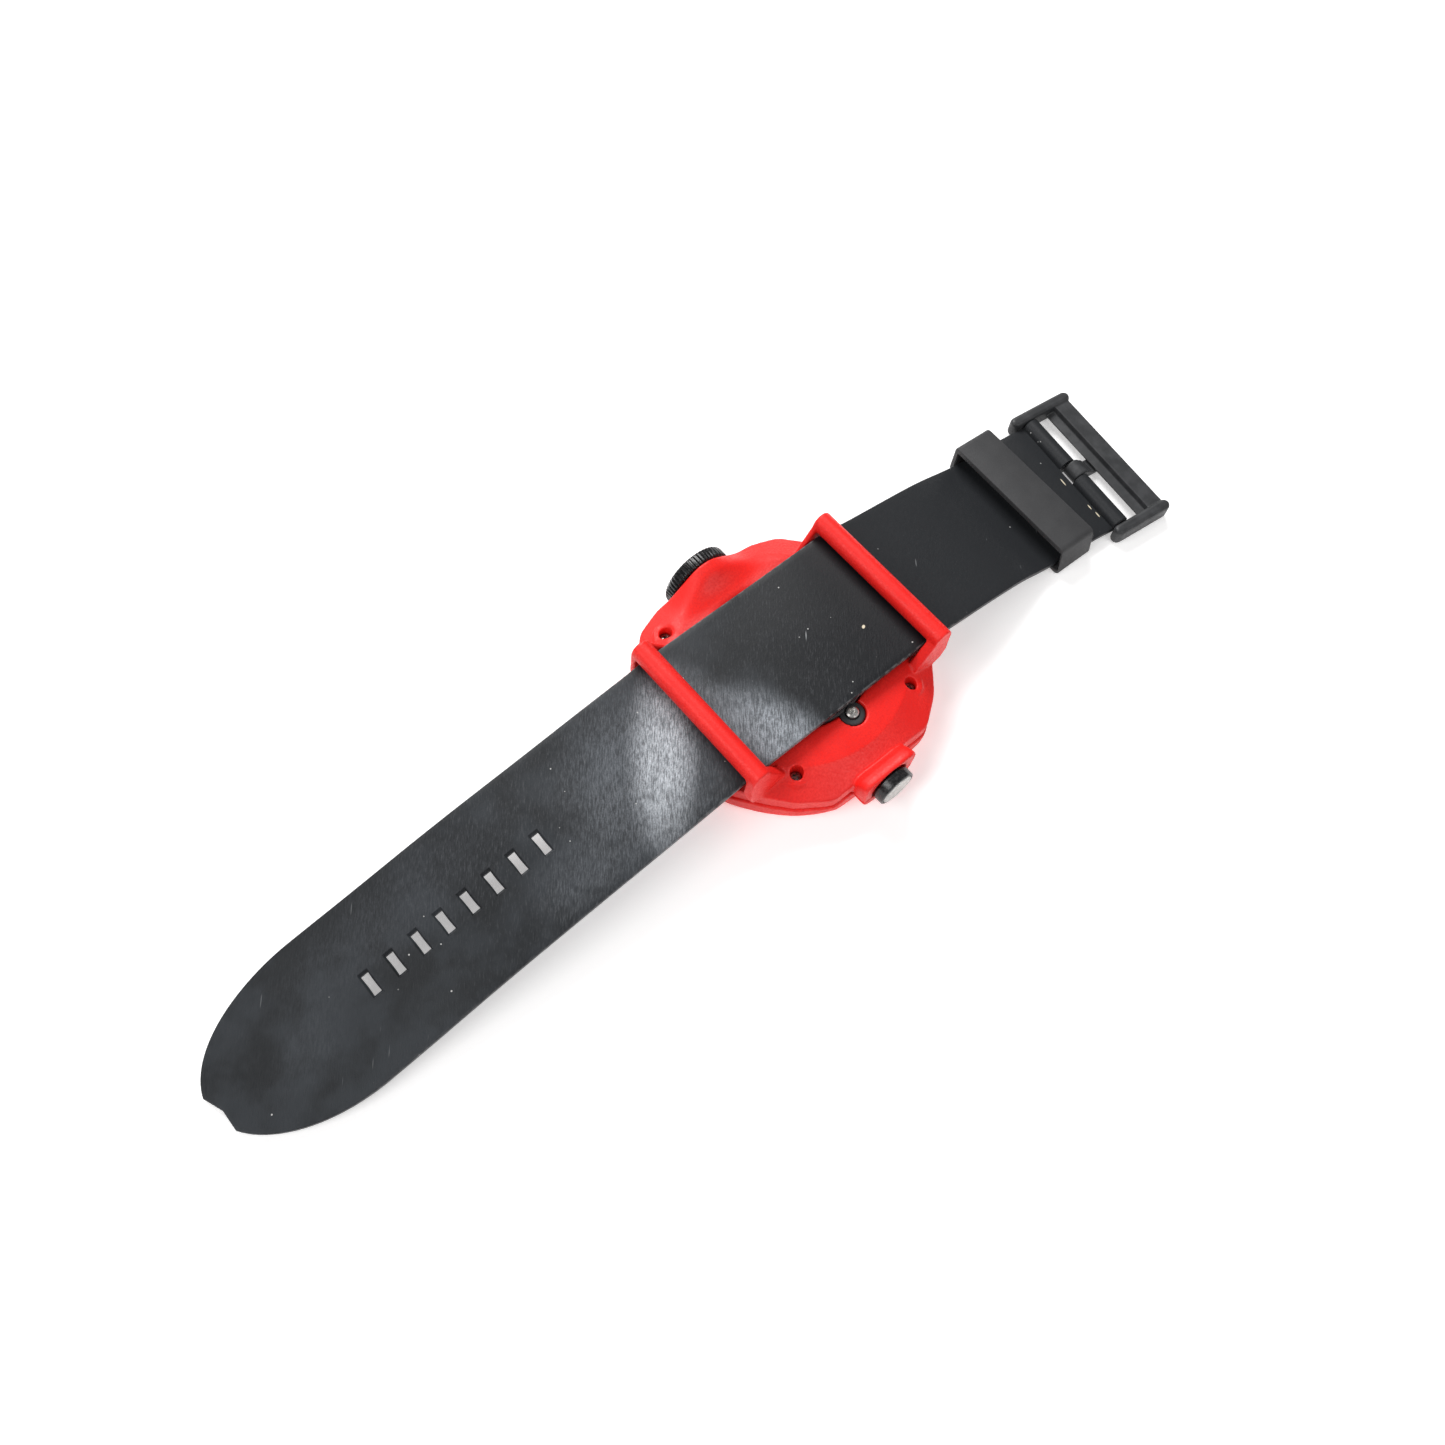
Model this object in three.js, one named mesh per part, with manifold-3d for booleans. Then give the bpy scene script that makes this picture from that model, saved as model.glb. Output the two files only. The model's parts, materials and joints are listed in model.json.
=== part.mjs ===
// Wrist dive computer, lying face down on its lens: round two-shell case, crown wheel, push
// button, screwed battery door, one pass-through strap with a keeper and a tongue buckle.
// Millimetres. Origin: centre of the lens face. +Z up through the case back, +X towards the
// buckle, +Y towards the crown.
import * as THREE from 'three';
import { mergeVertices } from 'three/addons/utils/BufferGeometryUtils.js';
import Module from 'manifold-3d';

const wasm = await Module();
wasm.setup();

// ---------------------------------------------------------------- driving dimensions
const GAP = 0.3;                   // air left between pieces that touch
const SEAM_Z = 5.55;               // middle of the joint between the two shells
const FRONT_R = 34.5;
const BACK_TOP = 14.0;             // crown of the domed back
const BACK_EDGE_R = 27;            // where the back turns down towards the rim
const BACK_EDGE_Z = 12.9;
const RIM_R = 34.8;
const RIM_Z = 8.7;
const NEAR_FLAT = -31.4;           // flat sides of the rim
const FAR_FLAT = 29.7;
const SEAL_R = 32.5;
const BEZEL_R = 28.2;
const DOOR_R = 18.2;               // battery door and its screwed ear
const EAR_X = 1.4;
const EAR_Y = -19.4;
const EAR_R = 2.9;

const BAR_X = 26.7;                // strap bars
const BAR_Z = 19.3;
const BAR_R = 2.5;
const LUG_IN = 18.35;
const LUG_OUT = 20.8;

const SCREW_X = 17.2;              // shell screws
const SCREW_Y = 22;
const HIDDEN_SCREW_Y = 15.2;       // the fourth one is under the strap
const SCREW_HEAD_R = 1.2;
const SCREW_HEAD_TOP = 9.8;
const WELL_R = 1.5;

const CROWN_X = -0.8;
const CROWN_Z = 8.75;
const CROWN_R = 8.5;
const CROWN_Y0 = 28.9;
const CROWN_Y1 = 31.8;
const CROWN_RIBS = 52;
const SHAFT_R = 1.05;
const SHAFT_END = 19.6;
const HUMP_R = 8.45;
const HUMP_Y = 28.6;

const BUTTON_X = -1.3;
const BUTTON_Z = 8.1;
const BUTTON_R = 4.75;
const BUTTON_FACE_Y = -38.1;
const BUTTON_TRAVEL = 1.2;
const BOSS_Y = -35.9;
const COUNTERBORE = 3.6;           // depth of the button's seat in its boss
const STEM_R = 1.2;
const STEM_Y0 = -34;
const STEM_Y1 = -26.4;

const STRAP_W = 35.8;
const STRAP_HALF = STRAP_W / 2;
const STRAP_T = 1.4;
const STRAP_TOP = 16.5;
const TIP_X = -149.4;
const TAIL_START = 27.0;           // distance of both folding parts' ends from the middle
const SLOT_COUNT = 8;
const SLOT_FIRST_X = -69.0;
const SLOT_PITCH = 6.2;
const SLOT_LENGTH = 1.5;
const SLOT_WIDTH = 5;
const TIP_LENGTH = 30;

const SWAY_FROM = 60;              // the buckle end lies slightly askew
const SWAY_TO = 85;
const SWAY_SLOPE = -0.125;

const KEEPER_X = 78.2;             // strap loop
const KEEPER_LENGTH = 10.6;
const KEEPER_H = 8.9;
const KEEPER_WALL = 1.5;
const KEEPER_SIDE = 1.4;

const PIN_X = 97.2;                // buckle pin, along the strap
const PIN_Z = 2.45;
const PIN_R = 0.7;
const KNUCKLE_R = 1.75;
const RAIL_HALF = 19.7;            // rails' middle lines, across the strap
const RAIL_W = 2.7;
const RAIL_TOP = 4.8;

const BOARD_Z0 = 5.5;              // circuit board and what stands on it
const BOARD_Z1 = 6.5;
const CHIP_Z = BOARD_Z1 + GAP;
const CELL_X = 1.5;                // coin cell, 20 mm across and 3.2 mm high
const CELL_R = 10;
const CELL_Z0 = 8.9;
const CELL_Z1 = 12.1;

const FINE = 48;                   // sides of large, middling and small rounds
const ROUND = 28;
const SMALL = 16;

// ---------------------------------------------------------------- materials
function paint(color, roughness, metalness) {
  return new THREE.MeshStandardMaterial({ color, roughness, metalness });
}
const RED = paint(0xe8231f, 0.42, 0);
const STRAP = paint(0x26282b, 0.5, 0);
const BLACK_SATIN = paint(0x303134, 0.5, 0);
const BLACK_GLOSS = paint(0x141415, 0.25, 0);
const RUBBER = paint(0x1c1c1e, 0.8, 0);
const STEEL = paint(0xb9bbbd, 0.3, 1);
const SILVER = paint(0xc9c9c5, 0.4, 0.8);
const BRASS = paint(0xc8a24a, 0.35, 1);
const CLEAR = paint(0xdfe8ea, 0.05, 0);
const LCD = paint(0x8a958a, 0.2, 0);
const BOARD = paint(0x1f5b38, 0.5, 0);
const WHITE = paint(0xe8e8e2, 0.5, 0);

// ---------------------------------------------------------------- solids
function weld(geometry) {
  const bare = geometry.index ? geometry.toNonIndexed() : geometry.clone();
  bare.deleteAttribute('normal');
  bare.deleteAttribute('uv');
  const merged = mergeVertices(bare, 1e-4);
  const old = merged.index.array;
  const kept = [];
  for (let i = 0; i < old.length; i += 3) {
    const [a, b, c] = [old[i], old[i + 1], old[i + 2]];
    if (a !== b && b !== c && c !== a) {
      kept.push(a, b, c);
    }
  }
  merged.setIndex(kept);
  return merged;
}

function solid(geometry) {
  const merged = weld(geometry);
  const vertProperties = new Float32Array(merged.attributes.position.array);
  const triVerts = new Uint32Array(merged.index.array);
  return new wasm.Manifold(new wasm.Mesh({ numProp: 3, vertProperties, triVerts }));
}

function join(...geometries) {
  return geometryOf(geometries.map(solid).reduce((sum, next) => sum.add(next)));
}

function cut(geometry, ...tools) {
  return geometryOf(tools.map(solid).reduce((rest, tool) => rest.subtract(tool), solid(geometry)));
}

function overlap(a, b) {
  return geometryOf(solid(a).intersect(solid(b)));
}

function geometryOf(manifold) {
  const mesh = manifold.getMesh();
  const geometry = new THREE.BufferGeometry();
  geometry.setAttribute('position', new THREE.BufferAttribute(new Float32Array(mesh.vertProperties), 3));
  geometry.setIndex(new THREE.BufferAttribute(new Uint32Array(mesh.triVerts), 1));
  return geometry;
}

// a box from its lowest to its highest corner
function box(x0, x1, y0, y1, z0, z1) {
  const geometry = new THREE.BoxGeometry(x1 - x0, y1 - y0, z1 - z0);
  return geometry.translate((x0 + x1) / 2, (y0 + y1) / 2, (z0 + z1) / 2);
}

function shapeOf(points) {
  return new THREE.Shape(points.map(([x, y]) => new THREE.Vector2(x, y)));
}

// an XY outline raised from z0 to z1
function raised(shape, z0, z1) {
  const options = { depth: z1 - z0, bevelEnabled: false, curveSegments: 10 };
  const geometry = new THREE.ExtrudeGeometry(shape, options);
  return geometry.translate(0, 0, z0);
}

// an XZ outline swept across the strap from y0 to y1
function swept(points, y0, y1) {
  const geometry = new THREE.ExtrudeGeometry(shapeOf(points), { depth: y1 - y0, bevelEnabled: false });
  return geometry.rotateX(Math.PI / 2).translate(0, y1, 0);
}

// a profile of [radius, height] points spun about the Y axis
function spunY(profile, segments, x = 0, z = 0) {
  let area = 0;
  profile.forEach(([r, h], i) => {
    const [r2, h2] = profile[(i + 1) % profile.length];
    area += r * h2 - r2 * h;
  });
  const ordered = area > 0 ? [...profile] : [...profile].reverse();
  const onAxis = ordered.some(([r]) => r === 0);
  if (onAxis) {
    while (!(ordered[0][0] === 0 && ordered[ordered.length - 1][0] === 0)) {
      ordered.push(ordered.shift());
    }
  } else {
    ordered.push(ordered[0]);
  }
  const points = ordered.map(([r, h]) => new THREE.Vector2(r, h));
  return new THREE.LatheGeometry(points, segments).translate(x, 0, z);
}

// the same, spun about the Z axis
function spunZ(profile, segments, x = 0, y = 0) {
  return spunY(profile, segments).rotateX(Math.PI / 2).translate(x, y, 0);
}

function rodZ(r, z0, z1, x, y, segments = SMALL) {
  return spunZ([[0, z0], [r, z0], [r, z1], [0, z1]], segments, x, y);
}

function rodY(r, y0, y1, x, z, segments = SMALL) {
  return spunY([[0, y0], [r, y0], [r, y1], [0, y1]], segments, x, z);
}

function ringZ(inner, outer, z0, z1, segments = ROUND, x = 0, y = 0) {
  return spunZ([[inner, z0], [outer, z0], [outer, z1], [inner, z1]], segments, x, y);
}

function ringY(inner, outer, y0, y1, x, z, segments = SMALL) {
  return spunY([[inner, y0], [outer, y0], [outer, y1], [inner, y1]], segments, x, z);
}

const part = new THREE.Group();

function add(name, geometry, material, parent = part) {
  const mesh = new THREE.Mesh(weld(geometry), material);
  mesh.name = name;
  parent.add(mesh);
  return mesh;
}

// ---------------------------------------------------------------- case
const SHELL_SCREWS = [
  [-SCREW_X, -SCREW_Y],
  [SCREW_X, -SCREW_Y],
  [-SCREW_X, SCREW_Y],
  [SCREW_X, HIDDEN_SCREW_Y],
];

// the many-sided outline of the rear shell, mirrored from one quarter's corners
function rimOutline() {
  const corners = [[33.4, 0], [32.6, 8], [29.8, 15.4], [25.2, 21.8], [20.8, 26.8]];
  const side = (sx, flat) => {
    const last = [14, Math.abs(flat)];
    return [...corners, last].map(([x, y]) => [sx * x, Math.sign(flat) * y]);
  };
  const farRight = side(1, FAR_FLAT);
  const farLeft = side(-1, FAR_FLAT).reverse();
  const nearLeft = side(-1, NEAR_FLAT).slice(1);
  const nearRight = side(1, NEAR_FLAT).slice(1).reverse();
  return shapeOf([...farRight, ...farLeft, ...nearLeft, ...nearRight]);
}

// boss round the push button: a block with rounded corners, cut level at the shell joint
function buttonBoss(z0, z1, yIn) {
  const half = 7.6;
  const round = 2.6;
  const shape = new THREE.Shape();
  const [left, right] = [BUTTON_X - half, BUTTON_X + half];
  const [low, high] = [2.1, 13.3];
  shape.moveTo(left + round, low);
  shape.lineTo(right - round, low);
  shape.absarc(right - round, low + round, round, -Math.PI / 2, 0);
  shape.absarc(right - round, high - round, round, 0, Math.PI / 2);
  shape.absarc(left + round, high - round, round, Math.PI / 2, Math.PI);
  shape.absarc(left + round, low + round, round, Math.PI, 1.5 * Math.PI);
  const points = shape.getPoints(4).map((p) => [p.x, p.y]);
  return overlap(swept(points, BOSS_Y, yIn), box(-40, 40, -50, 0, z0, z1));
}

// hump that carries the crown: a cone about the crown's axis, widest at the crown
function crownHump(z0, z1) {
  const profile = [
    [0, 13], [4.6, 15], [6.6, 20], [8, 25.2], [HUMP_R, 27.4], [HUMP_R, HUMP_Y], [0, HUMP_Y],
  ];
  return overlap(spunY(profile, 40, CROWN_X, CROWN_Z), box(-40, 40, 5, 50, z0, z1));
}

const crownWall = box(CROWN_X - 11.2, CROWN_X + 11.2, 26.4, 40, 0, 12.4);
const crownPocket = box(CROWN_X - CROWN_R - 0.8, CROWN_X + CROWN_R + 0.8, HUMP_Y, 45, -5, 25);
const crownBore = rodY(2.2, 10, 45, CROWN_X, CROWN_Z);
const buttonBore = rodY(BUTTON_R + GAP, -50, BOSS_Y + COUNTERBORE, BUTTON_X, BUTTON_Z, ROUND);
const buttonPocket = box(BUTTON_X - 3.4, BUTTON_X + 3.4, -31, -20, 5, 11);
const buttonStemBore = rodY(2.3, -50, -24, BUTTON_X, BUTTON_Z);

function frontCase() {
  const top = SEAM_Z - GAP / 2;
  const wall = spunZ([
    [22.5, 2.9], [BEZEL_R + GAP, 2.9], [BEZEL_R + GAP, 0.5], [30.6, 0.5], [33.2, 1.2], [34.2, 2.3],
    [FRONT_R, 3.8], [FRONT_R, top], [31.3, top], [31.3, 4.3], [22.5, 4.3],
  ], FINE);
  const guard = overlap(rodZ(FRONT_R - 0.3, 2.9, top, 0, 0, FINE), crownWall);
  const boss = buttonBoss(0, top, -31.6);
  const hump = overlap(crownHump(0, top), box(-30, 30, 24.6, 50, 0, top));
  const pillars = SHELL_SCREWS.map(([x, y]) => rodZ(2.9, 3.5, top, x, y));
  const screwHoles = SHELL_SCREWS.map(([x, y]) => rodZ(0.9, 3.4, 9, x, y, 12));
  const body = join(wall, guard, boss, hump, ...pillars);
  const bezelSeat = rodZ(BEZEL_R + GAP, -5, 2.9, 0, 0, FINE);
  const sealGroove = ringZ(SEAL_R - 0.6, SEAL_R + 0.6, top - 0.9, 9, ROUND);
  const bores = [crownPocket, crownBore, buttonBore, buttonStemBore];
  return cut(body, bezelSeat, sealGroove, ...screwHoles, ...bores);
}
add('front_case', frontCase(), RED);

// lug: a gusset that widens from the bar down to the rim
function lug(sx, sy) {
  const arc = [];
  const steps = 8;
  for (let i = 0; i <= steps; i += 1) {
    const a = Math.PI - (Math.PI * i) / steps;
    arc.push([BAR_X + BAR_R * Math.cos(a), BAR_Z + BAR_R * Math.sin(a)]);
  }
  const foot = [[30.4, 8.2], [29.2, 6.7], [24.6, 6.7], [20.6, 11.2], [20.6, 13.2]];
  const outline = [...arc, ...foot].map(([x, z]) => [sx * x, z]);
  return swept(outline, Math.min(sy * LUG_IN, sy * LUG_OUT), Math.max(sy * LUG_IN, sy * LUG_OUT));
}

function rearCase() {
  const bottom = SEAM_Z + GAP / 2;
  const dome = spunZ([
    [0, bottom], [RIM_R, bottom], [RIM_R, RIM_Z], [BACK_EDGE_R, BACK_EDGE_Z],
    [20, 13.6], [10, 13.92], [0, BACK_TOP],
  ], FINE);
  const body = overlap(dome, raised(rimOutline(), 0, 30));
  const hollow = spunZ([[0, 0], [31, 0], [31, 7.4], [27.4, 10], [19.6, 10.9], [0, 10.9]], FINE);
  const cavity = cut(hollow, crownWall);
  const pillars = SHELL_SCREWS.map(([x, y]) => rodZ(2.9, bottom, 11.4, x, y));
  const boss = buttonBoss(bottom, 14, -27);
  const hump = crownHump(bottom, 20);
  const lugs = [];
  for (const sx of [-1, 1]) {
    for (const sy of [-1, 1]) {
      lugs.push(lug(sx, sy));
    }
    lugs.push(rodY(BAR_R, -LUG_OUT + 0.5, LUG_OUT - 0.5, sx * BAR_X, BAR_Z, 24));
  }
  const humpHollow = spunY([[0, 10], [4.2, 20], [5, 24], [0, 24]], SMALL, CROWN_X, CROWN_Z);
  const shell = join(cut(join(body, boss, hump), cavity, humpHollow), ...pillars, ...lugs);
  const wells = SHELL_SCREWS.flatMap(([x, y]) => [
    rodZ(WELL_R, SCREW_HEAD_TOP - 1.4, 20, x, y),
    rodZ(0.9, 0, 20, x, y, 12),
  ]);
  const doorSeat = [
    rodZ(DOOR_R + GAP, 12.0, 20, 0, 0, FINE),
    rodZ(EAR_R + GAP, 12.0, 20, EAR_X, EAR_Y, 24),
    rodZ(15.4, 5, 20, 0, 0, ROUND),
    rodZ(0.7, 8, 20, EAR_X, EAR_Y, 12),
  ];
  const strapSide = STRAP_HALF + GAP;
  const strapPath = box(-40, 40, -strapSide, strapSide, STRAP_TOP - STRAP_T - GAP, BAR_Z - BAR_R);
  const bores = [crownPocket, crownBore, buttonBore, buttonStemBore, buttonPocket];
  return cut(shell, ...wells, ...doorSeat, strapPath, ...bores);
}
add('rear_case', rearCase(), RED);

// small cross-recessed screw standing on Z, head up
function screw(x, y, headTop, headR, shankR, tip) {
  const body = spunZ([
    [0, tip], [shankR * 0.3, tip], [shankR, tip + 0.9], [shankR, headTop - 1.0], [headR, headTop - 1.0],
    [headR, headTop - 0.25], [headR * 0.72, headTop], [0, headTop],
  ], SMALL, x, y);
  const slotW = headR * 0.17;
  const slotL = headR * 0.62;
  const depth = headTop - 0.45;
  return cut(
    body,
    box(x - slotL, x + slotL, y - slotW, y + slotW, depth, headTop + 1),
    box(x - slotW, x + slotW, y - slotL, y + slotL, depth, headTop + 1),
  );
}
SHELL_SCREWS.forEach(([x, y], i) => {
  add(`shell_screw_${i + 1}`, screw(x, y, SCREW_HEAD_TOP - 0.1, SCREW_HEAD_R, 0.6, 3.9), STEEL);
});

// battery door: round plate with one screwed ear
function batteryDoor() {
  const plate = spunZ([[0, 13], [DOOR_R, 13], [DOOR_R, 14.1], [DOOR_R - 0.7, 14.45], [0, 14.7]], FINE);
  const earProfile = [[0, 12.3], [EAR_R, 12.3], [EAR_R, 13.0], [EAR_R - 0.35, 13.3], [0, 13.3]];
  const ear = spunZ(earProfile, 24, EAR_X, EAR_Y);
  const spigot = ringZ(13.4, 15.1, 11.3, 13.2, ROUND);
  const counterbore = rodZ(1.5, 12.9, 16, EAR_X, EAR_Y);
  const hole = rodZ(0.85, 12, 16, EAR_X, EAR_Y, 12);
  return cut(join(plate, ear, spigot), counterbore, hole);
}
add('battery_door', batteryDoor(), BLACK_SATIN);
add('battery_door_screw', screw(EAR_X, EAR_Y, 14.2, 1.15, 0.55, 9.2), STEEL);
add('battery_door_seal', ringZ(15.6, 16.3, 12.2, 12.8), RUBBER);
add('case_seal', cut(ringZ(SEAL_R - 0.3, SEAL_R + 0.3, 4.8, 5.45), crownPocket), RUBBER);

// ---------------------------------------------------------------- face
function bezel() {
  const ring = spunZ([[24.2, 0], [BEZEL_R - 0.7, 0], [BEZEL_R, 0.8], [BEZEL_R, 2.6], [24.2, 2.6]], FINE);
  const ticks = [];
  const tickCount = 12;
  for (let i = 0; i < tickCount; i += 1) {
    const a = (2 * Math.PI * i) / tickCount;
    ticks.push(box(24.9, 26.9, -0.35, 0.35, -1, 0.35).rotateZ(a));
  }
  return cut(ring, ...ticks);
}
add('bezel_ring', bezel(), BLACK_SATIN);
add('lens', spunZ([[0, 0], [23.3, 0], [23.9, 0.5], [23.9, 1.7], [0, 1.7]], FINE), CLEAR);
add('lens_gasket', ringZ(22.4, 23.9, 2.0, 2.6), RUBBER);

// printed dial plate with a rectangular display window
function dialPlate() {
  const plate = rodZ(22.1, 2.1, 2.5, 0, 0, FINE);
  return cut(plate, box(-13.5, 13.5, -9.5, 9.5, 1, 4));
}
add('dial_plate', dialPlate(), BLACK_SATIN);
add('lcd_display', box(-16, 16, -12, 12, 2.8, 3.9), LCD);
add('light_guide', box(-15.5, 15.5, -11.5, 11.5, 4.2, 4.9), WHITE);
[-1, 1].forEach((side, i) => {
  add(`lcd_connector_${i + 1}`, box(-13, 13, side * 13.6 - 1.1, side * 13.6 + 1.1, 2.9, 5.2), RUBBER);
});

// ---------------------------------------------------------------- electronics
function circuitBoard() {
  const board = rodZ(22.4, BOARD_Z0, BOARD_Z1, 0, 0, FINE);
  const flat = 20.6;
  const flats = [box(-30, 30, flat, 30, 5, 8), box(-30, 30, -30, -flat, 5, 8)];
  const notches = SHELL_SCREWS.map(([x, y]) => rodZ(3.3, 5, 8, x, y));
  return cut(board, ...flats, ...notches);
}
add('circuit_board', circuitBoard(), BOARD);

// domed drop of black resin over the bare chip
function processor() {
  const profile = [[0, 0], [4.2, 0], [3.9, 0.7], [2.6, 1.3], [0, 1.5]];
  return spunZ(profile, 24, -9.5, -8).translate(0, 0, CHIP_Z);
}
add('processor', processor(), BLACK_GLOSS);
add('crystal_can', rodY(1.0, -9, -3, 14.5, CHIP_Z + 1.1), STEEL);

function pressureSensor() {
  const [x, y] = [14.5, 6];
  const base = rodZ(3.1, CHIP_Z, CHIP_Z + 1.6, x, y, 24);
  const port = rodZ(1.9, CHIP_Z + 1.5, CHIP_Z + 2.5, x, y, 24);
  return join(base, port);
}
add('pressure_sensor', pressureSensor(), STEEL);

// flat round sounder with a shallow dimple
function buzzer() {
  const profile = [[0, 0], [4.8, 0], [4.8, 1.9], [1, 1.9], [1, 1.4], [0, 1.4]];
  return spunZ(profile, 24, -12.6, 7.4).translate(0, 0, CHIP_Z);
}
add('buzzer', buzzer(), BRASS);

function coinCell() {
  const rim = CELL_Z0 + 0.5;
  return spunZ([
    [0, CELL_Z0], [CELL_R - 1.4, CELL_Z0], [CELL_R - 1.1, CELL_Z0 + 0.3], [CELL_R, rim],
    [CELL_R, CELL_Z1 - 0.2], [CELL_R - 0.3, CELL_Z1], [0, CELL_Z1],
  ], 32, CELL_X);
}
add('coin_cell', coinCell(), STEEL);

// L-shaped leaf under the cell, and one that presses on its side
function contact(footX0, footX1, legX0, legX1, halfWidth, legTop) {
  return join(
    box(footX0, footX1, -halfWidth, halfWidth, CHIP_Z, CHIP_Z + 0.3),
    box(legX0, legX1, -halfWidth, halfWidth, CHIP_Z + 0.2, legTop),
  );
}
add('cell_contact_minus', contact(-2, 5, 2.2, 5, 1.6, CELL_Z0 - GAP), BRASS);
add('cell_contact_plus', contact(11.8, 14, CELL_X + CELL_R + GAP, 12.3, 2, CELL_Z1 - 0.7), BRASS);

// ---------------------------------------------------------------- crown
function crownWheel() {
  const shape = new THREE.Shape();
  const valley = CROWN_R - 0.42;
  for (let i = 0; i < CROWN_RIBS; i += 1) {
    const step = (2 * Math.PI) / CROWN_RIBS;
    [[0, valley], [0.22, CROWN_R], [0.72, CROWN_R], [0.94, valley]].forEach(([t, r], k) => {
      const a = step * (i + t);
      const [x, y] = [r * Math.cos(a), r * Math.sin(a)];
      if (i === 0 && k === 0) {
        shape.moveTo(x, y);
      } else {
        shape.lineTo(x, y);
      }
    });
  }
  const disc = raised(shape, 0, CROWN_Y1 - CROWN_Y0).rotateX(Math.PI / 2);
  const ribs = disc.translate(CROWN_X, CROWN_Y1, CROWN_Z);
  const dish = rodY(5.6, CROWN_Y1 - 0.6, 50, CROWN_X, CROWN_Z, ROUND);
  const bore = rodY(1.35, 20, CROWN_Y1 - 1.0, CROWN_X, CROWN_Z);
  return cut(ribs, dish, bore);
}
add('crown_wheel', crownWheel(), BLACK_GLOSS);
add('crown_shaft', rodY(SHAFT_R, SHAFT_END, CROWN_Y1 - 1.3, CROWN_X, CROWN_Z), STEEL);
add('crown_seal', ringY(SHAFT_R + GAP, 1.9, 26.2, 27.2, CROWN_X, CROWN_Z), RUBBER);

// turn sensor that the shaft's inner end sits in
function crownEncoder() {
  const body = box(CROWN_X - 3, CROWN_X + 3, SHAFT_END - 4.2, SHAFT_END - 0.4, CROWN_Z - 2, CROWN_Z + 2);
  return cut(body, rodY(SHAFT_R + GAP, SHAFT_END - 1.4, SHAFT_END + 2, CROWN_X, CROWN_Z));
}
add('crown_encoder', crownEncoder(), BLACK_SATIN);

// ---------------------------------------------------------------- push button
// cup with a stem that slides in the case wall
function buttonBody() {
  const lip = BUTTON_FACE_Y + 0.2;
  const cup = spunY([
    [0, lip], [BUTTON_R - 0.2, lip], [BUTTON_R, lip + 0.3], [BUTTON_R, STEM_Y0], [STEM_R, STEM_Y0],
    [STEM_R, STEM_Y1], [0, STEM_Y1],
  ], ROUND, BUTTON_X, BUTTON_Z);
  const recess = rodY(BUTTON_R - 0.5, -45, lip + 0.7, BUTTON_X, BUTTON_Z, ROUND);
  return cut(cup, recess);
}
add('button_body', buttonBody(), BLACK_GLOSS);

function buttonCap() {
  const back = BUTTON_FACE_Y + 0.65;
  const profile = [
    [0, BUTTON_FACE_Y], [3.9, BUTTON_FACE_Y], [4.05, BUTTON_FACE_Y + 0.15], [4.05, back], [0, back],
  ];
  return spunY(profile, ROUND, BUTTON_X, BUTTON_Z);
}
add('button_cap', buttonCap(), SILVER);
add('button_seal', ringY(STEM_R + 0.2, 2.1, -32.0, -31.3, BUTTON_X, BUTTON_Z), RUBBER);

// snap ring that keeps the stem in the case
function buttonClip() {
  const ring = ringY(STEM_R + 0.15, 2.7, -30.6, -30.1, BUTTON_X, BUTTON_Z);
  return cut(ring, box(BUTTON_X - 0.8, BUTTON_X + 0.8, -35, -25, BUTTON_Z, BUTTON_Z + 5));
}
add('button_clip', buttonClip(), STEEL);

function buttonSwitch() {
  const face = STEM_Y1 + BUTTON_TRAVEL + 0.1;
  return box(BUTTON_X - 2.6, BUTTON_X + 2.6, face, face + 3.9, BUTTON_Z - 1.2, BUTTON_Z + 1.6);
}
add('button_switch', buttonSwitch(), BLACK_SATIN);

// ---------------------------------------------------------------- strap
// height of the strap's upper face, from the bars outwards
const TAIL_FALL = [
  [-20, STRAP_TOP], [-BAR_X, STRAP_TOP], [-33, 15.6], [-50, 13.6], [-72, 11.3], [-92, 8.6], [-112, 5.2],
  [-132, 2.5], [-152, 1.45],
];
const BUCKLE_FALL = [
  [20, STRAP_TOP], [BAR_X, STRAP_TOP], [34, 14.2], [46, 11.4], [58, 8.3], [68, 4.8], [75, 3.25], [84, 3.2],
  [93, 3.3], [99, 3.4],
];

function fallCurve(points) {
  return new THREE.SplineCurve(points.map(([x, z]) => new THREE.Vector2(x, z)));
}

// closed XZ outline of a strip whose upper face follows a curve
function strip(curve, fromX, toX, steps) {
  const atX = (x) => {
    let [low, high] = [0, 1];
    const rising = curve.getPoint(1).x > curve.getPoint(0).x;
    for (let i = 0; i < 40; i += 1) {
      const mid = (low + high) / 2;
      if ((curve.getPoint(mid).x < x) === rising) {
        low = mid;
      } else {
        high = mid;
      }
    }
    return low;
  };
  const top = [];
  const under = [];
  for (let i = 0; i <= steps; i += 1) {
    const t = atX(fromX + ((toX - fromX) * i) / steps);
    const p = curve.getPoint(t);
    const along = curve.getTangent(t);
    const down = along.x > 0 ? [along.y, -along.x] : [-along.y, along.x];
    top.push([p.x, p.y]);
    under.unshift([p.x + down[0] * STRAP_T, p.y + down[1] * STRAP_T]);
  }
  return [...top, ...under];
}

function strapCentre() {
  const end = TAIL_START - GAP;
  return box(-end, end, -STRAP_HALF, STRAP_HALF, STRAP_TOP - STRAP_T, STRAP_TOP);
}
add('strap_centre', strapCentre(), STRAP);

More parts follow.
